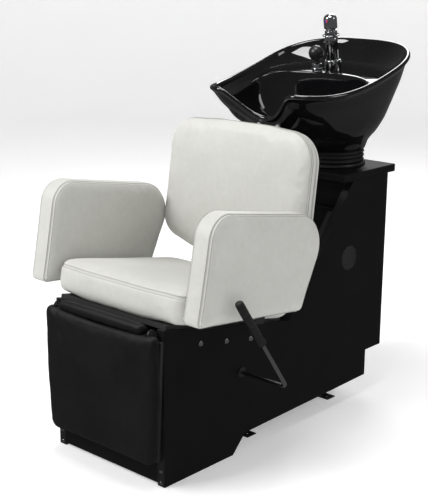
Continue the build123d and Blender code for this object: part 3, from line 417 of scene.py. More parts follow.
def loft(name: str, rows: Sequence[Sequence[Vector]], cap_first: bool = True, cap_last: bool = True,
         closed: bool = False) -> bpy.types.Mesh:
    """Join rows of equally many points, each a closed loop, into a skin.

    Args:
        name: the mesh's name.
        rows: the loops, in order.
        cap_first: close the first loop with a fan to its middle.
        cap_last: close the last loop the same way.
        closed: join the last loop to the first instead.

    Returns:
        The mesh.
    """
    count = len(rows[0])
    points = [p for row in rows for p in row]
    faces: list[tuple[int, ...]] = []
    pairs = [(i, i + 1) for i in range(len(rows) - 1)]
    if closed:
        pairs.append((len(rows) - 1, 0))
    for low, high in pairs:
        for k in range(count):
            after = (k + 1) % count
            faces.append((low * count + k, low * count + after, high * count + after, high * count + k))
    for wanted, index in ((cap_first, 0), (cap_last, len(rows) - 1)):
        if wanted and not closed:
            middle = sum((Vector(p) for p in rows[index]), Vector()) / count
            points.append(middle)
            centre = len(points) - 1
            faces += [(index * count + k, index * count + (k + 1) % count, centre) for k in range(count)]
    return mesh_from(name, points, faces)


def applied(piece: bpy.types.Object) -> bpy.types.Object:
    """Bake a piece's modifiers into its mesh."""
    bpy.context.view_layer.update()
    result = bpy.data.meshes.new_from_object(piece.evaluated_get(bpy.context.evaluated_depsgraph_get()))
    piece.modifiers.clear()
    piece.data = result
    piece.data.polygons.foreach_set("use_smooth", [True] * len(piece.data.polygons))
    return piece


def bevelled(piece: bpy.types.Object, width: float, segments: int = 3, angle: float = 40.0) -> bpy.types.Object:
    """Round a piece's sharp edges and shade it by face area."""
    bevel = piece.modifiers.new("edges", "BEVEL")
    bevel.width, bevel.segments = width, segments
    bevel.limit_method, bevel.angle_limit = "ANGLE", math.radians(angle)
    bevel.harden_normals = True
    return applied(piece)


def lathe(name: str, profile: Sequence[Point2], place: Place, around: int = 48,
          wobble: Callable[[float, float], float] | None = None) -> bpy.types.Mesh:
    """Turn a (radius, height) profile about a place's w axis.

    Args:
        name: the mesh's name.
        profile: radii and heights, from the bottom to the top.
        place: where the axis stands.
        around: the number of points in a turn.
        wobble: a factor on the radius from the turn's angle and the height.

    Returns:
        The mesh, closed at both ends.
    """
    rows = []
    for radius, height in profile:
        row = []
        for k in range(around):
            turn = 2 * math.pi * k / around
            r = radius * (wobble(turn, height) if wobble else 1.0)
            row.append(place.at(r * math.cos(turn), r * math.sin(turn), height))
        rows.append(row)
    return loft(name, rows)


def soft_profile(profile: Sequence[Point2], radius: float) -> list[Point2]:
    """Round the inner corners of an open profile with short arcs."""
    result = [profile[0]]
    for before, here, after in zip(profile, profile[1:], profile[2:]):
        corner = Vector(here)
        back, on = Vector(before) - corner, Vector(after) - corner
        reach = min(radius, 0.45 * back.length, 0.45 * on.length)
        start, end = corner + back.normalized() * reach, corner + on.normalized() * reach
        for k in range(4):
            t = k / 3
            point = start * (1 - t) ** 2 + corner * 2 * t * (1 - t) + end * t ** 2
            result.append((point.x, point.y))
    return [*result, profile[-1]]


# ---------------------------------------------------------------- upholstery
@dataclass
class Upholstery:
    """A stuffed pad: an outline with thickness, rounded edges and crowned faces, swollen by cloth simulation."""

    name: str
    place: Place
    outline: list[Point2]
    low: float
    high: float
    rounding: float
    crown_low: float
    crown_high: float
    finish: Finish
    voxel: float = 0.005
    cap: float = 0.006
    pressure: float = 4.0
    piece: bpy.types.Object = field(init=False)

    def start_shape(self) -> bpy.types.Mesh:
        """Return the closed starting shape, before it is swollen."""
        loop = np.array(self.outline)
        normals = outward_normals(self.outline)
        middle = loop.mean(axis=0)
        steps = [k / 6 for k in range(7)]
        edge = [(self.rounding * (1 - math.sin(t * math.pi / 2)), self.rounding * (1 - math.cos(t * math.pi / 2)))
                for t in steps]
        rows: list[list[Vector]] = []
        scales = (0.12, 0.35, 0.6, 0.8, 0.93)

        def cap_rows(height: float, crown: float, sign: float) -> list[list[Vector]]:
            """Return the crowned rows of one face, from the middle outwards."""
            inner = loop - normals * self.rounding
            return [[self.place.at(*(middle + (p - middle) * s), height + sign * crown * (1 - s * s) ** 0.8)
                     for p in inner] for s in scales]

        rows += cap_rows(self.low, self.crown_low, -1.0)
        for inset, rise in edge:
            rows.append([self.place.at(*(p - n * inset), self.low + rise) for p, n in zip(loop, normals)])
        for inset, rise in reversed(edge):
            rows.append([self.place.at(*(p - n * inset), self.high - rise) for p, n in zip(loop, normals)])
        rows += reversed(cap_rows(self.high, self.crown_high, 1.0))
        return loft(self.name, rows)

    def swell(self) -> bpy.types.Object:
        """Remesh the shape, blow it up as cloth with its travel capped, and smooth it by one subdivision."""
        piece = new_object(self.name, self.start_shape(), self.finish)
        remesh = piece.modifiers.new("even", "REMESH")
        remesh.mode, remesh.voxel_size = "VOXEL", self.voxel
        applied(piece)
        piece.data.materials.clear()
        piece.data.materials.append(self.finish.material())
        start = vertex_array(piece.data)
        cloth = piece.modifiers.new("cloth", "CLOTH")
        cloth.settings.quality = 4
        cloth.settings.use_pressure = True
        cloth.settings.uniform_pressure_force = self.pressure
        cloth.settings.effector_weights.gravity = 0.0
        cloth.point_cache.frame_start, cloth.point_cache.frame_end = 1, 20
        scene = bpy.context.scene
        for frame_number in range(1, 21):
            scene.frame_set(frame_number)
        swollen = piece.evaluated_get(bpy.context.evaluated_depsgraph_get()).to_mesh()
        moved = vertex_array(swollen) - start
        piece.modifiers.clear()
        scene.frame_set(1)
        length = np.linalg.norm(moved, axis=1, keepdims=True) + 1e-9
        eased = moved * (self.cap * np.tanh(length / self.cap) / length)
        piece.data.vertices.foreach_set("co", (start + eased).astype(np.float32).ravel())
        smooth = piece.modifiers.new("smooth", "SUBSURF")
        smooth.levels = 1
        self.piece = applied(piece)
        return self.piece

    def edge_path(self, w: float, first: float = 0.0, last: float = 1.0, deep: float = 0.03) -> "Path":
        """Trace the outline on the finished surface at a height w, by rays shot outwards through it.

        Args:
            w: the height in the pad's place.
            first: where along the outline the path starts, as a share of its length.
            last: where it ends.
            deep: how far inside the outline the rays start.

        Returns:
            The path on the surface.
        """
        tree = BVHTree.FromObject(self.piece, bpy.context.evaluated_depsgraph_get())
        normals = outward_normals(self.outline)
        count = len(self.outline)
        path = Path([], [], first <= 0.0 and last >= 1.0)
        for k in range(int(first * count), int(last * count)):
            p, n = np.array(self.outline[k]), normals[k]
            start = self.place.at(*(p - n * deep), w)
            ray = self.place.u * float(n[0]) + self.place.v * float(n[1])
            spot, normal, _, _ = tree.ray_cast(start, ray, deep + 0.04)
            if spot is not None:
                path.points.append(spot)
                path.normals.append(normal)
        return path


@dataclass
class Path:
    """A line on a surface: its points and the surface's normals there."""

    points: list[Vector]
    normals: list[Vector]
    closed: bool


def vertex_array(mesh: bpy.types.Mesh) -> np.ndarray:
    """Return a mesh's vertex places as an array."""
    flat = np.zeros(len(mesh.vertices) * 3, np.float32)
    mesh.vertices.foreach_get("co", flat)
    return flat.reshape(-1, 3).astype(float)


def press_seam(piece: bpy.types.Object, path: Path, width: float, depth: float) -> None:
    """Press a narrow valley into a piece along a path."""
    tree = KDTree(len(path.points))
    for index, point in enumerate(path.points):
        tree.insert(point, index)
    tree.balance()
    places = vertex_array(piece.data)
    normals = np.zeros(places.size, np.float32)
    piece.data.vertices.foreach_get("normal", normals)
    gaps = np.array([tree.find(place)[2] for place in places])
    push = np.where(gaps < 3 * width, depth * np.exp(-(gaps / width) ** 2), 0.0)
    moved = places - normals.reshape(-1, 3) * push[:, None]
    piece.data.vertices.foreach_set("co", moved.astype(np.float32).ravel())
    piece.data.update()


def stitches(name: str, rows: Sequence[tuple[Path, float]], finish: Finish, length: float = 0.0052,
             gap: float = 0.0022, thick: float = 0.0007) -> bpy.types.Object:
    """Sew rows of short threads beside paths.

    Args:
        name: the object's name.
        rows: each row's path and how far beside it the row runs.
        finish: the thread's finish.
        length: the length of one stitch.
        gap: the space between two stitches.
        thick: the thread's radius.

    Returns:
        One object holding every stitch.
    """
    points: list[Vector] = []
    faces: list[tuple[int, ...]] = []
    for path, offset in rows:
        loop = [*path.points, path.points[0]] if path.closed else path.points
        normals = [*path.normals, path.normals[0]] if path.closed else path.normals
        line = np.array([tuple(p) for p in loop])
        along = np.concatenate([[0], np.cumsum(np.linalg.norm(np.diff(line, axis=0), axis=1))])
        up = np.array([tuple(n) for n in normals])
        count = int(along[-1] / (length + gap))
        for k in range(count):
            ends = []
            for share in (0.0, 0.33, 0.67, 1.0):
                spot = (k + 0.5) * (length + gap) + (share - 0.5) * length
                where = Vector([float(np.interp(spot, along, line[:, a])) for a in range(3)])
                normal = Vector([float(np.interp(spot, along, up[:, a])) for a in range(3)]).normalized()
                ahead = Vector([float(np.interp(spot + 0.002, along, line[:, a])) for a in range(3)]) - \
                    Vector([float(np.interp(spot - 0.002, along, line[:, a])) for a in range(3)])
                if ahead.length < 1e-6:
                    continue
                side = ahead.normalized().cross(normal).normalized()
                fat = thick * (1.0 if 0.1 < share < 0.9 else 0.55)
                lift = 0.0003 if 0.1 < share < 0.9 else -0.0002
                ends.append((where + side * offset + normal * lift, side, normal, fat))
            if len(ends) < 4:
                continue
            base = len(points)
            for spot_point, side, normal, fat in ends:
                for turn in range(5):
                    angle = 2 * math.pi * turn / 5
                    points.append(spot_point + (side * math.cos(angle) + normal * math.sin(angle)) * fat)
            for ring in range(3):
                for turn in range(5):
                    after = (turn + 1) % 5
                    faces.append((base + ring * 5 + turn, base + ring * 5 + after,
                                  base + ring * 5 + 5 + after, base + ring * 5 + 5 + turn))
            faces.append(tuple(base + t for t in range(5)))
            faces.append(tuple(base + 15 + t for t in range(5)))
    return new_object(name, mesh_from(name, points, faces), finish)


def stand_in(piece: bpy.types.Object, body: Body, slot: str, *nodes: str) -> bpy.types.Object:
    """Make a finished piece ride on a body and stand for CAD nodes.

    Args:
        piece: the finished object.
        body: the body it moves with.
        slot: the record's material slot; not used.
        nodes: the CAD nodes that it replaces.

    Returns:
        The same piece.
    """
    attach(piece, body.value)
    if nodes:
        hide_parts(*nodes)
    log.info("%s rides on %s for %s", piece.name, body.value, ", ".join(nodes) or "no node")
    return piece


@dataclass
class Arms:
    """The two padded arms, each with double-stitched boxing all round."""

    inside: float = 0.266
    thickness: float = 0.072
    corners: tuple[tuple[float, float, float], ...] = (
        (0.001, 0.473, 0.016), (0.430, 0.422, 0.022), (0.558, 0.687, 0.100), (0.058, 0.7735, 0.071))
    seam: float = 0.0085
    double: float = 0.0038

    def build(self) -> None:
        """Build the left arm and mirror it for the right."""
        outline = rounded(self.corners)
        pad = Upholstery("arm_pad_left_cover", side_place(self.inside, 1.0), outline, 0.001,
                         self.thickness - 0.001, 0.014, 0.003, 0.004, CREAM, cap=0.004)
        piece = pad.swell()
        rows: list[tuple[Path, float]] = []
        for w in (self.seam, self.thickness - self.seam):
            press_seam(piece, pad.edge_path(w), 0.0030, 0.0034)
            rows += [(pad.edge_path(w + gap), 0.0) for gap in (-self.double, self.double)]
        thread = stitches("arm_stitching_left", rows, SEAM_THREAD_PAINTED_SHADE)
        for source, name, node in ((piece, "arm_pad_right_cover", "arm_pad_right"),
                                   (thread, "arm_stitching_right", "")):
            mesh = source.data.copy()
            mesh.transform(Matrix.Scale(-1, 4, Vector((1, 0, 0))))
            mesh.flip_normals()
            twin = new_object(name, mesh)
            stand_in(twin, Body.CABINET, "cream_vinyl", *([node] if node else []))
        stand_in(piece, Body.CABINET, "cream_vinyl", "arm_pad_left")
        stand_in(thread, Body.CABINET, "cream_vinyl")


@dataclass
class Seat:
    """The seat cushion: boxed, with a double-stitched seam round its upper edge."""

    half: float = 0.256
    depth: float = 0.508
    low: float = 0.017
    high: float = 0.104
    bow: float = 0.016
    seam: float = 0.090
    double: float = 0.004

    def build(self) -> None:
        """Build the cushion and its stitching."""
        corners = [(-self.half, 0.004 + self.bow, 0.040), (-0.12, 0.0015, 0.5), (0.12, 0.0015, 0.5),
                   (self.half, 0.004 + self.bow, 0.040), (self.half, self.depth, 0.05),
                   (-self.half, self.depth, 0.05)]
        pad = Upholstery("seat_cushion_cover", seat_place(), rounded(corners), self.low, self.high, 0.026,
                         0.0, 0.014, CREAM, voxel=0.006, cap=0.006)
        piece = pad.swell()
        self.drop_front(piece)
        press_seam(piece, pad.edge_path(self.seam, deep=0.06), 0.0034, 0.0036)
        rows = [(pad.edge_path(self.seam + gap, deep=0.06), 0.0) for gap in (-self.double, self.double)]
        thread = stitches("seat_stitching", rows, SEAM_THREAD_PAINTED_SHADE)
        stand_in(piece, Body.CABINET, "cream_vinyl", "seat_cushion")
        stand_in(thread, Body.CABINET, "cream_vinyl")

    def drop_front(self, piece: bpy.types.Object) -> None:
        """Let the front of the cover wrap down over the seat board's edge."""
        place = seat_place()
        places = vertex_array(piece.data)
        offset = places - np.array(tuple(place.origin))
        along, above = offset @ np.array(tuple(place.v)), offset @ np.array(tuple(place.w))
        front = np.clip(1.0 - along / 0.05, 0.0, None)
        below = np.clip(1.0 - (above - self.low) / 0.045, 0.0, None)
        moved = places - np.outer(0.012 * front * below, tuple(place.w))
        piece.data.vertices.foreach_set("co", moved.astype(np.float32).ravel())
        piece.data.update()


@dataclass
class BackRest:
    """The back cushion with its bowed lower edge and a stitched seam near its rear edge."""

    half: float = 0.281
    low: float = 0.010
    high: float = 0.424
    thickness: float = 0.050
    seam: float = -0.018
    double: float = 0.004

    def build(self) -> None:
        """Build the cushion, its stitching and its backing board."""
        corners = [(-0.281, 0.052, 0.075), (-0.12, 0.004, 0.30), (0.12, 0.004, 0.30), (0.281, 0.052, 0.075),
                   (0.277, 0.411, 0.100), (0.10, 0.4255, 0.60), (-0.10, 0.4255, 0.60), (-0.277, 0.411, 0.100)]
        pad = Upholstery("back_cushion_cover", back_place(), rounded(corners), -self.thickness + 0.001, 0.0, 0.020,
                         0.0, 0.012, CREAM, voxel=0.006, cap=0.006)
        piece = pad.swell()
        rows: list[tuple[Path, float]] = []
        press_seam(piece, pad.edge_path(self.seam), 0.0032, 0.0034)
        rows += [(pad.edge_path(self.seam + gap), 0.0) for gap in (-self.double, self.double)]
        thread = stitches("back_stitching", rows, SEAM_THREAD_PAINTED_SHADE)
        stand_in(piece, Body.CABINET, "cream_vinyl", "back_cushion")
        stand_in(thread, Body.CABINET, "cream_vinyl")
        self.shell()

    def shell(self) -> None:
        """Build the upholstered rear panel of the back, piped round its edge."""
        corners = [(-0.270, 0.060, 0.07), (-0.12, 0.014, 0.3), (0.12, 0.014, 0.3), (0.270, 0.060, 0.07),
                   (0.267, 0.401, 0.095), (0.10, 0.4155, 0.6), (-0.10, 0.4155, 0.6), (-0.267, 0.401, 0.095)]
        outline = rounded(corners, 0.006)
        place = back_place()
        thick = (-self.thickness - 0.0105, -self.thickness + 0.002)
        normals = outward_normals(outline)
        rows = []
        for inset, w in ((0.06, thick[0] - 0.0005), (0.012, thick[0]), (0.004, thick[0] + 0.001),
                         (0.0, thick[0] + 0.005), (0.0, thick[1])):
            rows.append([place.at(*(np.array(p) - n * inset), w) for p, n in zip(outline, normals)])
        panel = new_object("back_rear_panel", loft("back_rear_panel", rows), CREAM)
        stand_in(panel, Body.CABINET, "cream_vinyl", "back_board")


@dataclass
class LegRest:
    """The black leg-rest pad and the small roll above it."""

    def build(self) -> None:
        """Build the pad, its stitching and the roll."""
        place = Place(Vector((0, FRONT, 0)), Vector((1, 0, 0)), Vector((0, 0, 1)), Vector((0, -1, 0)))
        corners = [(-0.209, 0.064, 0.030), (0.209, 0.064, 0.030), (0.2235, 0.25, 0.8), (0.221, 0.441, 0.022),
                   (0.17, 0.438, 0.05), (0.0, 0.431, 0.9), (-0.17, 0.438, 0.05), (-0.221, 0.441, 0.022),
                   (-0.2235, 0.25, 0.8)]
        pad = Upholstery("leg_rest_cover", place, rounded(corners), 0.0115, 0.041, 0.013, 0.0, 0.007,
                         BLACK_VINYL, cap=0.005)
        piece = pad.swell()
        for vertex in piece.data.vertices:
            deep = -(vertex.co.y - FRONT)
            behind_links = abs(abs(vertex.co.x) - 0.1835) < 0.0085 and vertex.co.z > 0.388
            if deep < 0.034 and behind_links:
                vertex.co.y = FRONT - 0.034
        press_seam(piece, pad.edge_path(0.022), 0.0028, 0.0020)
        rows = [(pad.edge_path(0.022 + gap), 0.0) for gap in (-0.0038, 0.0038)]
        thread = stitches("leg_rest_stitching", rows, BLACK_THREAD)
        stand_in(piece, Body.REST, "black_vinyl", "leg_rest_pad")
        stand_in(thread, Body.REST, "black_vinyl")
        self.roll()

    def roll(self) -> None:
        """Build the roll on the flipper board, with gathered round ends."""
        low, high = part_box("flipper_pad")
        half, radius = high.x, 0.0165
        centre = Vector((0, FRONT - 0.025, 0.4445))
        rows = []
        count = 40
        for k in range(count + 1):
            t = -1 + 2 * k / count
            x = half * math.sin(t * math.pi / 2) if abs(t) > 0.8 else half * t / 0.8 * math.sin(0.4 * math.pi)
            end = max(0.0, 1 - ((abs(x) - (half - radius)) / radius) ** 2) if abs(x) > half - radius else 1.0
            fat = radius * math.sqrt(end) * (1.0 + 0.03 * math.cos(t * math.pi))
            row = []
            for turn in range(28):
                angle = 2 * math.pi * turn / 28
                y, z = fat * math.cos(angle), fat * math.sin(angle)
                back = max(0.0, math.cos(angle)) ** 2
                row.append(centre + Vector((x, y + 0.012 * back * math.sqrt(end), z * 0.98 - 0.006 * back)))
            rows.append(row)
        roll = new_object("flipper_roll_cover", loft("flipper_roll_cover", rows), BLACK_VINYL)
        roll.modifiers.new("smooth", "SUBSURF").levels = 1
        applied(roll)
        stand_in(roll, Body.UPPER, "black_vinyl", "flipper_pad")


# ---------------------------------------------------------------- cabinet
@dataclass
class Cabinet:
    """The laminate cabinet: side panels, shelf, and its bolts and screws."""

    tower: float = 0.724
    depth: float = 1.017
    bolts: tuple[Point2, ...] = ((0.141, 0.376), (0.247, 0.356), (0.351, 0.337))
    port: Point2 = (0.821, 0.482)
    shaft: Point2 = (0.312, 0.247)

    def build(self) -> None:
        """Build every visible cabinet piece."""
        for side, node in ((1, "side_panel_left"), (-1, "side_panel_right")):
            self.panel(side, node)
        self.shelf()
        self.board("kick_board", 0.001)
        self.bolt_heads()
        self.screw_heads()
        self.port_caps()

    def outline(self) -> list[Point2]:
        """Return the side panel's outline."""
        deck = (0.540 * math.cos(SEAT_TILT), SEAT_FRONT_HEIGHT - 0.540 * math.sin(SEAT_TILT))
        return [(0, 0), (0.281, 0), (0.332, 0.053), (0.934, 0.064), (0.934, 0.149), (self.depth, 0.149),
                (self.depth, self.tower), (0.829, self.tower), deck, (0, SEAT_FRONT_HEIGHT)]

    def panel(self, side: int, node: str) -> None:
        """Build one side panel with softened edges, a port hole and an edge band all round."""
        place = side_place(side * INNER, float(side))
        outline = self.outline()
        rows = [[place.at(u, v, w) for u, v in outline] for w in (0.0, HALF - INNER)]
        count = len(outline)
        faces = [tuple(range(count)), tuple(range(count, 2 * count))]
        faces += [(k, (k + 1) % count, count + (k + 1) % count, count + k) for k in range(count)]
        mesh = mesh_from(node + "_board", [p for row in rows for p in row], faces)
        piece = new_object(node + "_board", mesh, LAMINATE)
        mesh.materials.append(EDGE_BAND.material())
        for polygon in mesh.polygons:
            polygon.material_index = 0 if abs(polygon.normal.x) > 0.9 else 1
        holes = [(self.port, 0.040)] + ([(self.shaft, 0.011)] if side > 0 else [])
        for (u, v), radius in holes:
            cutter = new_object("cutter", lathe("cutter", [(radius, -0.01), (radius, 0.04)],
                                                Place(place.at(u, v), place.u, place.v, place.w), 64))
            cut = piece.modifiers.new("hole", "BOOLEAN")
            cut.object, cut.solver = cutter, "EXACT"
            applied(piece)
            bpy.data.objects.remove(cutter)
        bevelled(piece, 0.0011, 3)
        stand_in(piece, Body.CABINET, "laminate", node)

    def shelf(self) -> None:
        """Build the shelf under the bowl, with a softened front edge."""
        low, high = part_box("top_board")
        self.block("shelf_board", low, high, 0.0022, LAMINATE, "top_board")

    def board(self, node: str, bevel: float) -> None:
        """Build a plain board over a CAD node's box."""
        low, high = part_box(node)
        self.block(node + "_cover", low, high, bevel, LAMINATE, node)

    def block(self, name: str, low: Vector, high: Vector, bevel: float, finish: Finish, node: str) -> None:
        """Build one softened block between two corners that stands for a node."""
        corners = [Vector((x, y, z)) for x in (low.x, high.x) for y in (low.y, high.y) for z in (low.z, high.z)]
        faces = [(0, 1, 3, 2), (4, 6, 7, 5), (0, 4, 5, 1), (2, 3, 7, 6), (0, 2, 6, 4), (1, 5, 7, 3)]
        piece = new_object(name, mesh_from(name, corners, faces), finish)
        bevelled(piece, bevel, 4)
        stand_in(piece, Body.CABINET, "laminate", node)

    def bolt_heads(self) -> None:
        """Build the domed bolt heads with hexagon sockets on both side panels."""
        heads = []
        for side in (-1, 1):
            for u, v in self.bolts:
                spot = Place(Vector((side * HALF, FRONT + u, v)), Vector((0, 1, 0)), Vector((0, 0, 1)),
                             Vector((side, 0, 0)))
                heads.append(socket_head("bolt_head", spot, 0.0058, 0.0030, 6))
        joined("rail_bolt_heads", heads, STEEL, Body.CABINET, "chrome")

    def screw_heads(self) -> None:
        """Build cross-slotted screw heads on the front edges."""
        heads = []
        for x in (-0.2015, 0.2015):
            for z in (0.010, 0.045):
                spot = Place(Vector((x, FRONT, z)), Vector((1, 0, 0)), Vector((0, 0, 1)), Vector((0, -1, 0)))
                heads.append(socket_head("screw_head", spot, 0.0058, 0.0026, 4))
        joined("edge_screw_heads", heads, CHROME, Body.CABINET, "chrome")

    def port_caps(self) -> None:
        """Build the round caps that close the service ports, with a stepped rim and a dished face."""
        caps = []
        for side in (-1, 1):
            spot = Place(Vector((side * HALF, FRONT + self.port[0], self.port[1])), Vector((0, 1, 0)),
                         Vector((0, 0, 1)), Vector((side, 0, 0)))
            profile = [(0.0, -0.012), (0.0392, -0.012), (0.0392, -0.0005), (0.0382, 0.0006), (0.0352, 0.0006),
                       (0.0340, -0.0012), (0.0290, -0.0022), (0.0275, -0.0016), (0.0255, -0.0016), (0.0240, -0.0024),
                       (0.0, -0.0030)]
            caps.append(new_object("cap", lathe("cap", soft_profile(profile, 0.0007), spot, 72), PLASTIC))
        joined("service_port_caps", caps, PLASTIC, Body.CABINET, "black_plastic", "port_caps")


def socket_head(name: str, spot: Place, radius: float, height: float, sides: int) -> bpy.types.Object:
    """Build a domed screw head with a polygon socket sunk into it."""
    around = 36
    rows = []

    def ring(r: float, w: float, shape: int = 0) -> list[Vector]:
        """Return one loop of the head: round, or a polygon with so many sides."""
        row = []
        for k in range(around):
            turn = 2 * math.pi * k / around
            reach = r
            if shape:
                part = (turn % (2 * math.pi / shape)) - math.pi / shape
                reach = r * math.cos(math.pi / shape) / math.cos(part)
            row.append(spot.at(reach * math.cos(turn), reach * math.sin(turn), w))
        return row

    for share in (0.0, 0.35, 0.65, 0.85, 1.0):
        rows.append(ring(radius * (1 - 0.42 * share ** 2.2), height * math.sin(share * math.pi / 2)))
    rows.append(ring(radius * 0.44, height, sides))
    rows.append(ring(radius * 0.42, height * 0.92, sides))
    rows.append(ring(radius * 0.40, height * 0.25, sides))
    return new_object(name, loft(name, rows), CHROME)


def joined(name: str, pieces: Sequence[bpy.types.Object], finish: Finish, body: Body, slot: str,
           *nodes: str) -> bpy.types.Object:
    """Merge small pieces into one object that rides on a body."""
    work = bmesh.new()
    for piece in pieces:
        work.from_mesh(piece.data)
        bpy.data.objects.remove(piece)
    mesh = bpy.data.meshes.new(name)
    work.to_mesh(mesh)
    work.free()
    return stand_in(new_object(name, mesh, finish), body, slot, *nodes)


# ---------------------------------------------------------------- bowl
@dataclass
class Bowl:
    """The glazed wash bowl: a swept outer shell, a rolled rim, a tap deck and a deep basin."""

    around: int = 144
    middle: float = 0.885               # distance behind the front of the rays' common centre
    foot: Point2 = (0.160, 0.114)
    foot_behind: float = 0.925
    foot_height: float = 0.799
    deck_edge: Point2 = (0.962, 1.027)  # the deck's front edge (behind, height)
    drain_behind: float = 0.866
    floor: float = 0.8505

    def build(self) -> None:
        """Build the bowl and its neck-rest studs."""
        rows = self.outside() + self.lip() + self.inside()
        count = len(rows[0])
        mesh = loft("wash_bowl", rows, cap_first=False, cap_last=False)
        piece = new_object("wash_bowl", mesh, GLAZE)
        piece.modifiers.new("smooth", "SUBSURF").levels = 1
        applied(piece)
        log.info("bowl has %d points round it", count)
        stand_in(piece, Body.BOWL, "glaze", "bowl")
        self.studs(piece)

    def rim_curve(self) -> np.ndarray:
        """Return the rim's crest: two horns, round sides, a high rear and a dipped neck rest."""
        points = []
        for k in range(400):
            behind = 0.592 + 0.578 * k / 399
            if behind > 0.950:
                x = 0.262 * max(0.0, 1 - ((behind - 0.950) / 0.220) ** 2.69) ** (1 / 2.69)
            else:
                x = 0.124 + 0.138 * max(0.0, 1 - ((0.950 - behind) / 0.358) ** 2.54) ** (1 / 2.54)
            s = (behind - 0.592) * 10
            points.append((x, behind, 1.002 - 0.00924 * s + 0.00891 * s ** 2 - 0.00062 * s ** 3))
        notch = []
        for k in range(120):
            t = 1 - (k + 1) / 120
            bend = 1 - math.cos(t * math.pi / 2) ** 1.15
            notch.append((0.124 * t, 0.655 - 0.063 * t ** 1.8, 0.918 + 0.084 * (0.35 * t ** 2 + 0.65 * bend)))
        half = points[::-1] + notch
        mirrored = [(-x, y, z) for x, y, z in half[::-1]][1:]
        return np.array(half + mirrored)

    def by_angle(self, curve: np.ndarray) -> np.ndarray:
        """Read a closed curve at the bowl's even ray angles."""
        angles = np.arctan2(curve[:, 0], curve[:, 1] - self.middle)
        order = np.argsort(angles)
        angles, curve = angles[order], curve[order]
        wanted = -math.pi + 2 * math.pi * (np.arange(self.around) + 0.5) / self.around
        full = np.concatenate([angles - 2 * math.pi, angles, angles + 2 * math.pi])
        looped = np.concatenate([curve, curve, curve])
        read = np.stack([np.interp(wanted, full, looped[:, a]) for a in range(3)], axis=1)
        kernel = np.array([0.25, 0.5, 0.25])
        padded = np.concatenate([read[-1:], read, read[:1]])
        return sum(kernel[k] * padded[k:k + self.around] for k in range(3))

    def oval(self, half: float, front: float, rear: float, centre: float, power: float) -> np.ndarray:
        """Return a superellipse curve with different front and rear depths, at height zero."""
        points = []
        for k in range(720):
            turn = 2 * math.pi * k / 720
            c, s = math.cos(turn), math.sin(turn)
            depth = rear if s > 0 else front
            points.append((half * abs(c) ** (2 / power) * math.copysign(1, c),
                           centre + depth * abs(s) ** (2 / power) * math.copysign(1, s), 0.0))
        return np.array(points)

    def rows_of(self, *arrays: np.ndarray) -> list[list[Vector]]:
        """Turn arrays of (x, behind, height) into rows of points."""
        return [[Vector((x, FRONT + behind, z)) for x, behind, z in array] for array in arrays]

    def outside(self) -> list[list[Vector]]:
        """Return the outer rows, from the foot to just under the rim."""
        rim = self.by_angle(self.rim_curve())
        foot = self.by_angle(self.oval(self.foot[0], self.foot[1], self.foot[1], self.foot_behind, 2.3))
        foot[:, 2] = self.foot_height
        under = self.inset(rim, 0.010)
        under[:, 2] -= 0.018
        heights = (0.0, 0.02, 0.07, 0.13, 0.20, 0.27, 0.35, 0.43, 0.52, 0.62, 0.72, 0.80, 0.88, 0.94, 1.0)
        known = (0.0, 0.13, 0.20, 0.27, 0.304, 0.43, 0.623, 0.72, 0.80, 1.0)
        reach = (0.0, 0.10, 0.27, 0.37, 0.44, 0.558, 0.728, 0.81, 0.878, 1.0)
        rows = []
        inner = foot.copy()
        inner[:, :2] = self.inset(foot, 0.014)[:, :2]
        rows.append(inner)
        for share in heights:
            out = float(np.interp(share, known, reach))
            row = foot * (1 - out) + under * out
            row[:, 2] = foot[:, 2] * (1 - share) + under[:, 2] * share
            rows.append(row)
        return self.rows_of(*rows)

    def inset(self, curve: np.ndarray, distance: float | np.ndarray) -> np.ndarray:
        """Move a row inwards in plan by a distance."""
        ahead = np.roll(curve, -1, axis=0) - np.roll(curve, 1, axis=0)
        normal = np.stack([ahead[:, 1], -ahead[:, 0]], axis=1)
        normal /= np.linalg.norm(normal, axis=1, keepdims=True)
        outward = curve[:, :2] - np.array([0, self.middle])
        normal *= np.sign(np.sum(normal * outward, axis=1, keepdims=True))
        moved = curve.copy()
        moved[:, :2] -= normal * np.reshape(distance, (-1, 1))
        return moved

    def lip(self) -> list[list[Vector]]:
        """Return the rolled rim's rows, from its outer underside over the crest to its inner edge."""
        rim = self.by_angle(self.rim_curve())
        rows = []
        for inset, drop in ((0.003, 0.0145), (-0.0005, 0.009), (0.0015, 0.003), (0.006, 0.0), (0.0115, 0.001),
                            (0.0155, 0.0055), (0.0175, 0.011)):
            row = self.inset(rim, inset)
            row[:, 2] -= drop
            rows.append(row)
        return self.rows_of(*rows)

    def deck_height(self, behind: np.ndarray) -> np.ndarray:
        """Return the sloped deck's height at distances behind the front."""
        return self.deck_edge[1] + (behind - self.deck_edge[0]) * math.tan(DECK_TILT)

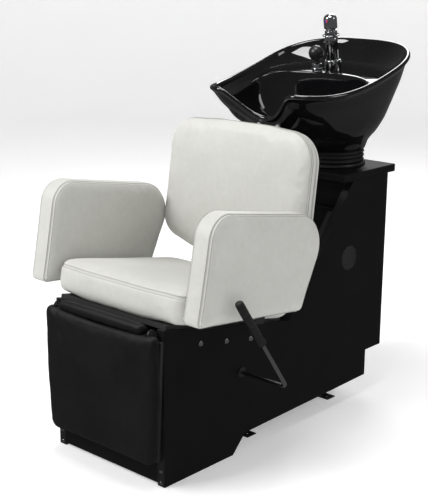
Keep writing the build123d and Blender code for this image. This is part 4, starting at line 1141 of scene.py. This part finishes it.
    def inside(self) -> list[list[Vector]]:
        """Return the inner rows: rim wall, deck, basin wall, basin floor and the waste hole."""
        rim = self.by_angle(self.rim_curve())
        edge = self.inset(rim, 0.0185)
        edge[:, 2] -= 0.016
        deck_outer = self.by_angle(self.oval(0.236, 0.236, 0.226, 0.881, 2.5))
        frontness = np.clip((0.93 - rim[:, 1]) / 0.16, 0, 1)[:, None]
        hugging = self.inset(rim, 0.030)
        wall_foot = deck_outer * (1 - frontness) + hugging * frontness
        wall_foot[:, 2] = np.minimum(self.deck_height(wall_foot[:, 1]), edge[:, 2] - 0.016)
        basin_top = self.by_angle(self.oval(0.222, 0.150, 0.163, 0.798, 2.8))
        nearer = self.inset(rim, 0.047)
        basin_top = basin_top * (1 - frontness) + nearer * frontness
        basin_top[:, 2] = np.minimum(self.deck_height(basin_top[:, 1]), wall_foot[:, 2] - 0.014 * frontness[:, 0])
        basin_low = self.by_angle(self.oval(0.128, 0.074, 0.068, 0.855, 2.3))
        basin_low[:, 2] = self.floor + 0.004
        rows = [edge]
        for share in (0.35, 0.7, 0.9):
            bend = share ** 0.8
            row = edge * (1 - share) + wall_foot * share
            row[:, 2] = edge[:, 2] * (1 - bend) + wall_foot[:, 2] * bend
            rows.append(row)
        rows.append(wall_foot)
        for share in (0.08, 0.3, 0.6, 0.88, 0.96):
            row = wall_foot * (1 - share) + basin_top * share
            row[:, 2] = np.where(frontness[:, 0] > 0.5, row[:, 2], self.deck_height(row[:, 1]))
            row[:, 2] = np.minimum(row[:, 2], wall_foot[:, 2] + 0.0)
            rows.append(row)
        brow = basin_top.copy()
        brow[:, 2] -= 0.001
        rows.append(brow)
        depth = basin_top[:, 2] - basin_low[:, 2]
        for share, drop in ((0.012, 0.035), (0.03, 0.12), (0.07, 0.28), (0.15, 0.46), (0.27, 0.64), (0.43, 0.79),
                            (0.60, 0.89), (0.78, 0.955), (0.92, 0.99), (1.0, 1.0)):
            row = basin_top * (1 - share) + basin_low * share
            row[:, 2] = basin_top[:, 2] - depth * drop
            rows.append(row)
        drain = self.by_angle(self.oval(0.034, 0.034, 0.034, self.drain_behind + 0.0001, 2.0))
        drain[:, 2] = self.floor
        for share in (0.35, 0.7, 0.93, 1.0):
            row = basin_low * (1 - share) + drain * share
            rows.append(row)
        throat = self.inset(drain, 0.012)
        throat[:, 2] -= 0.002
        sunk = throat.copy()
        sunk[:, 2] -= 0.012
        return self.rows_of(*rows, throat, sunk)

    def studs(self, bowl: bpy.types.Object) -> None:
        """Set the two neck-rest studs on the bowl's front wall."""
        tree = BVHTree.FromObject(bowl, bpy.context.evaluated_depsgraph_get())
        heads = []
        for x in (-0.036, 0.036):
            spot, normal, _, _ = tree.ray_cast(Vector((x, FRONT + 0.5, 0.889)), Vector((0, 1, 0)), 0.6)
            u = Vector((1, 0, 0))
            v = normal.cross(u).normalized()
            place = Place(spot, v.cross(normal).normalized(), v, normal)
            profile = soft_profile([(0.0, -0.004), (0.0078, -0.004), (0.0078, 0.0015), (0.0062, 0.0025),
                                    (0.0062, 0.0085), (0.0045, 0.0112), (0.0, 0.0118)], 0.0008)
            heads.append(new_object("stud", lathe("stud", profile, place, 36), STUD_FINISH))
        joined("neck_rest_studs", heads, STUD_FINISH, Body.BOWL, "chrome", "rest_studs")


@dataclass
class Neck:
    """The foot ring and the ribbed rubber boot between the shelf and the bowl."""

    behind: float = 0.925
    around: int = 96

    def ring(self, half: float, depth: float, height: float, power: float = 2.3) -> list[Vector]:
        """Return one oval loop round the neck."""
        row = []
        for k in range(self.around):
            turn = 2 * math.pi * k / self.around
            c, s = math.cos(turn), math.sin(turn)
            row.append(Vector((half * abs(c) ** (2 / power) * math.copysign(1, c),
                               FRONT + self.behind + depth * abs(s) ** (2 / power) * math.copysign(1, s), height)))
        return row

    def build(self) -> None:
        """Build the ring and the boot."""
        low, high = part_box("foot_ring")
        half, depth = high.x, (high.y - low.y) / 2
        profile = [(-0.020, 0.0), (0.0, 0.0), (0.0, 0.002), (-0.0008, 0.0088), (-0.003, 0.0112), (-0.008, 0.012),
                   (-0.018, 0.012), (-0.020, 0.0105)]
        rows = [self.ring(half + d, depth + d, low.z + z) for d, z in profile]
        foot = new_object("bowl_foot_ring", loft("bowl_foot_ring", rows, closed=True), PLASTIC)
        foot.modifiers.new("smooth", "SUBSURF").levels = 1
        applied(foot)
        stand_in(foot, Body.CABINET, "black_plastic", "foot_ring")
        self.boot(half, depth, high.z)

    def boot(self, half: float, depth: float, start: float) -> None:
        """Build the bellows boot."""
        rows = []
        low, high = start - 0.001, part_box("neck_boot")[1].z
        folds, steps = 3, 36
        for k in range(steps + 1):
            t = k / steps
            wave = 0.5 - 0.5 * math.cos(2 * math.pi * folds * t)
            out = -0.010 + 0.0055 * wave ** 0.7
            rows.append(self.ring(half + out, depth + out, low + (high - low) * t))
        for k in range(steps, -1, -1):
            t = k / steps
            wave = 0.5 - 0.5 * math.cos(2 * math.pi * folds * t)
            out = -0.0125 + 0.0055 * wave ** 0.7
            rows.append(self.ring(half + out, depth + out, low + (high - low) * t))
        boot = new_object("neck_bellows", loft("neck_bellows", rows, closed=True), RUBBER)
        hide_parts("neck_boot")
        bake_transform(boot)
        log.info("neck_bellows bends between the cabinet and the bowl")


def deck_place(x: float, behind: float) -> Place:
    """Return the place on the bowl's deck at x and a distance behind the front, with w square to the deck."""
    height = 1.027 + (behind - 0.962) * math.tan(DECK_TILT)
    v = Vector((0, math.cos(DECK_TILT), math.sin(DECK_TILT)))
    w = Vector((0, -math.sin(DECK_TILT), math.cos(DECK_TILT)))
    return Place(Vector((x, FRONT + behind, height)), Vector((1, 0, 0)), v, w)


@dataclass
class Tap:
    """The chrome mixer: a knurled nut, a tall body with a collar, a turret and a domed handle."""

    behind: float = 0.998
    body: float = 0.020
    tall: float = 0.112
    handle: float = 0.0215

    def build(self) -> None:
        """Build the mixer's four visible pieces and its dot."""
        place = deck_place(0.0, self.behind)
        nut = soft_profile([(0.0, -0.001), (0.0262, -0.001), (0.0275, 0.002), (0.0275, 0.0335), (0.0262, 0.0362),
                            (0.0205, 0.0362), (0.0, 0.0362)], 0.0015)
        flutes = lathe("tap_knurled_nut", nut, place, 144,
                       lambda turn, z: 1 - (0.045 * (0.5 + 0.5 * math.cos(24 * turn)) ** 3
                                            if 0.004 < z < 0.031 else 0.0))
        stand_in(new_object("tap_knurled_nut", flutes, CHROME), Body.BOWL, "chrome", "tap_base_nut")
        column = soft_profile([(0.0, -0.0005), (self.body, -0.0005), (self.body, 0.094), (0.0212, 0.097),
                               (0.0212, 0.1035), (self.body, 0.1065), (self.body, self.tall), (0.0272, self.tall),
                               (0.0282, self.tall + 0.002), (0.0272, self.tall + 0.004), (0.018, self.tall + 0.004),
                               (0.0, self.tall + 0.004)], 0.0009)
        stand_in(new_object("tap_column", lathe("tap_column", column, place, 72), CHROME), Body.BOWL, "chrome",
                 "tap_body")
        base = self.tall + 0.0043
        turret = soft_profile([(0.0, base), (0.0198, base), (0.0198, base + 0.0105), (0.0175, base + 0.013),
                               (0.0150, base + 0.0135), (0.0148, base + 0.019), (0.0165, base + 0.023),
                               (0.0160, base + 0.029), (0.0, base + 0.038)], 0.001)
        stand_in(new_object("tap_cartridge_cover", lathe("tap_cartridge_cover", turret, place, 64), CHROME),
                 Body.TURRET, "chrome", "tap_turret")
        h, r = 0.135, self.handle
        dome = [(0.0172, h + 0.001), (0.0195, h), (r - 0.0004, h + 0.0012), (r, h + 0.004), (r, h + 0.030)]
        dome += [(r * math.cos(a), h + 0.030 + 0.0165 * math.sin(a)) for a in np.linspace(0.12, 1.45, 12)]
        inner = [(0.0172, h + 0.020), (0.0, h + 0.0235)]
        profile = [*reversed(inner), *dome, (0.0, h + 0.0465)]
        stand_in(new_object("tap_domed_handle", lathe("tap_domed_handle", profile, place, 72), CHROME),
                 Body.HANDLE, "chrome", "tap_handle")
        front = Place(place.at(0, -r + 0.0002, 0.161), place.u, place.w, -place.v)
        dot = lathe("tap_dot", [(0.0, -0.001), (0.0048, -0.001), (0.0048, 0.0003), (0.0042, 0.0009), (0.0, 0.0012)],
                    front, 40)
        stand_in(new_object("tap_dot", dot, DOT), Body.HANDLE, "dot", "tap_indicator")


@dataclass
class Spray:
    """The hand spray in its holder beside the tap."""

    x: float = -0.064
    behind: float = 0.998

    def build(self) -> None:
        """Build the holder and the round spray head."""
        place = deck_place(self.x, self.behind)
        cup = soft_profile([(0.0, -0.0005), (0.0198, -0.0005), (0.0198, 0.0035), (0.0180, 0.0055), (0.0165, 0.014),
                            (0.0158, 0.0180), (0.0120, 0.0182), (0.0100, 0.0170), (0.0, 0.0165)], 0.0009)
        stand_in(new_object("spray_holder_cup", lathe("spray_holder_cup", cup, place, 64), CHROME), Body.BOWL,
                 "chrome", "spray_holder")
        stem = [(0.0, 0.0166), (0.0088, 0.0166), (0.0090, 0.0184), (0.0128, 0.0188), (0.0132, 0.0210),
                (0.0120, 0.0240), (0.0112, 0.0278)]
        ball = [(0.025 * math.cos(a), 0.052 + 0.025 * math.sin(a)) for a in np.linspace(-1.10, 1.52, 26)]
        head = lathe("spray_ball", [*stem, *ball, (0.0, 0.0771)], place, 72,
                     lambda turn, z: 1 + (0.012 * math.cos(turn * 12) if 0.047 < z < 0.057 else 0.0))
        stand_in(new_object("spray_ball", head, PLASTIC), Body.SPRAY, "black_plastic", "spray_head")


@dataclass
class Lever:
    """The side lever's rubber grip, ribbed where the hand closes."""

    start: Point2 = (0.312, 0.247)
    reach: float = 0.377
    length: float = 0.350
    lean: float = math.radians(35.6)
    grip: float = 0.012
    grip_length: float = 0.170

    def build(self) -> None:
        """Build the grip over the bent rod."""
        up = Vector((0, -math.sin(self.lean), math.cos(self.lean)))
        tip = Vector((self.reach, FRONT + self.start[0], self.start[1])) + up * (self.length + 0.007)
        u = Vector((1, 0, 0))
        place = Place(tip, u, (-up).cross(u), -up)
        g, long = self.grip, self.grip_length
        profile = [(g * math.sin(a), 0.010 - 0.010 * math.cos(a)) for a in np.linspace(0.0, 1.5, 8)]
        for k in range(9):
            z = 0.052 + 0.010 * k
            profile += [(g, z - 0.0030), (g - 0.0010, z - 0.0016), (g - 0.0010, z + 0.0016), (g, z + 0.0030)]
        profile += [(g, long - 0.012), (g + 0.0014, long - 0.009), (g + 0.0014, long - 0.002), (g, long),
                    (0.0061, long)]
        mesh = lathe("lever_rubber_grip", [*profile, (0.0, long - 0.001)], place, 56)
        stand_in(new_object("lever_rubber_grip", mesh, RUBBER), Body.LEVER, "rubber", "lever_grip")


# ---------------------------------------------------------------- carried CAD nodes and studio
def dress_frame(frame: dict) -> None:
    """Give every CAD node its finish from the record's slots."""
    slots = {entry["node"]: entry["material_slot"] for entry in frame["record"]["subparts"]}
    special = {"lever_rod": DARK_ROD, "lever_bush": PLASTIC, "waste_nut": PLASTIC, "floor_brackets": PAINT,
               "cabinet_floor": BLACK_BOARD, "arm_straps": PAINT, "upper_links": PAINT, "lower_links": PAINT,
               "rest_brackets": PAINT, "mechanism_rails": PAINT}
    for node, piece in frame["nodes"].items():
        finish = special.get(node) or CAD_FINISHES[slots[node]]
        piece.data.materials.clear()
        piece.data.materials.append(finish.material())
        log.info("%s is finished in %s", node, finish.name)


@dataclass
class Studio:
    """A plain pale floor and backdrop, soft lights and the camera."""

    camera_at: tuple[float, float, float] = (2.153, -2.529, 1.404)
    azimuth: float = math.radians(41.90)
    elevation: float = math.radians(14.96)
    roll: float = math.radians(0.49)
    lens: float = 80.86

    def build(self) -> None:
        """Build the studio."""
        self.backdrop()
        self.lights()
        self.camera()

    def backdrop(self) -> None:
        """Make one round pale sheet whose floor curves up into a wall on every side."""
        made = bpy.data.materials.new("studio_paper")
        nodes = Nodes(made)
        nodes.link(nodes.ramp(nodes.noise(2.0), (0.86, 0.86, 0.86), (0.88, 0.88, 0.88)),
                   nodes.shader.inputs["Base Color"])
        nodes.shader.inputs["Roughness"].default_value = 0.9
        nodes.shader.inputs["Emission Color"].default_value = (1.0, 1.0, 1.0, 1.0)
        nodes.shader.inputs["Emission Strength"].default_value = 0.30
        bend, floor = 1.5, 6.5
        profile = [(1.5, 0.0), (4.0, 0.0), (floor, 0.0)]
        profile += [(floor + bend * math.sin(a), bend - bend * math.cos(a)) for a in np.linspace(0.1, math.pi / 2, 12)]
        profile += [(floor + bend, 6.0)]
        around = 72
        turns = [2 * math.pi * k / around for k in range(around)]
        points = [Vector((r * math.cos(t), r * math.sin(t), height)) for r, height in profile for t in turns]
        faces = [tuple(range(around))]
        for k in range(len(profile) - 1):
            faces += [(k * around + t, k * around + (t + 1) % around, (k + 1) * around + (t + 1) % around,
                       (k + 1) * around + t) for t in range(around)]
        new_object("studio_backdrop", mesh_from("studio_backdrop", points, faces))
        sheet = bpy.data.objects["studio_backdrop"]
        sheet.data.materials.append(made)
        sheet.visible_glossy = False

    def lights(self) -> None:
        """Hang the soft boxes and set the pale surroundings."""
        world = bpy.data.worlds.new("studio_air")
        world.use_nodes = True
        world.node_tree.nodes["Background"].inputs["Color"].default_value = (1.0, 1.0, 1.0, 1)
        world.node_tree.nodes["Background"].inputs["Strength"].default_value = 0.13
        bpy.context.scene.world = world
        for name, place, size, power in (
                ("key_box", (-1.6, -3.2, 3.4), (1.8, 1.8), 128), ("side_box", (3.2, 1.4, 2.8), (0.8, 1.6), 16),
                ("rear_box", (-1.5, 3.0, 3.2), (1.6, 1.6), 55), ("top_box", (0.0, -0.2, 3.6), (1.4, 1.0), 50)):
            light = bpy.data.lights.new(name, "AREA")
            light.shape = "RECTANGLE"
            light.size, light.size_y = size
            light.energy = power
            lamp = bpy.data.objects.new(name, light)
            lamp.location = place
            aim = Vector((0, 0, 0.6)) - Vector(place)
            lamp.rotation_euler = aim.to_track_quat("-Z", "Y").to_euler()
            bpy.context.scene.collection.objects.link(lamp)

    def camera(self) -> None:
        """Set the camera."""
        sin_a, cos_a = math.sin(self.azimuth), math.cos(self.azimuth)
        back = Vector((sin_a * math.cos(self.elevation), -cos_a * math.cos(self.elevation), math.sin(self.elevation)))
        right = Vector((cos_a, sin_a, 0))
        up = back.cross(right)
        c, s = math.cos(self.roll), math.sin(self.roll)
        across, upright = right * c + up * s, up * c - right * s
        axes = Matrix((across, upright, back)).transposed().to_4x4()
        data = bpy.data.cameras.new("studio_camera")
        data.lens, data.sensor_width = self.lens, 36.0
        camera = bpy.data.objects.new("studio_camera", data)
        camera.matrix_world = Matrix.Translation(self.camera_at) @ axes
        bpy.context.scene.collection.objects.link(camera)
        bpy.context.scene.camera = camera
        bpy.context.scene.view_settings.view_transform = "Standard"


def main() -> None:
    """Build every sub-assembly in order."""
    logging.basicConfig(level=logging.INFO, format="%(message)s")
    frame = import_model()
    dress_frame(frame)
    Studio().build()
    for part in (Cabinet(), Seat(), BackRest(), Arms(), LegRest(), Lever(), Bowl(), Neck(), Tap(), Spray()):
        part.build()
        log.info("%s is built", type(part).__name__)


if __name__ == "__main__":
    main()
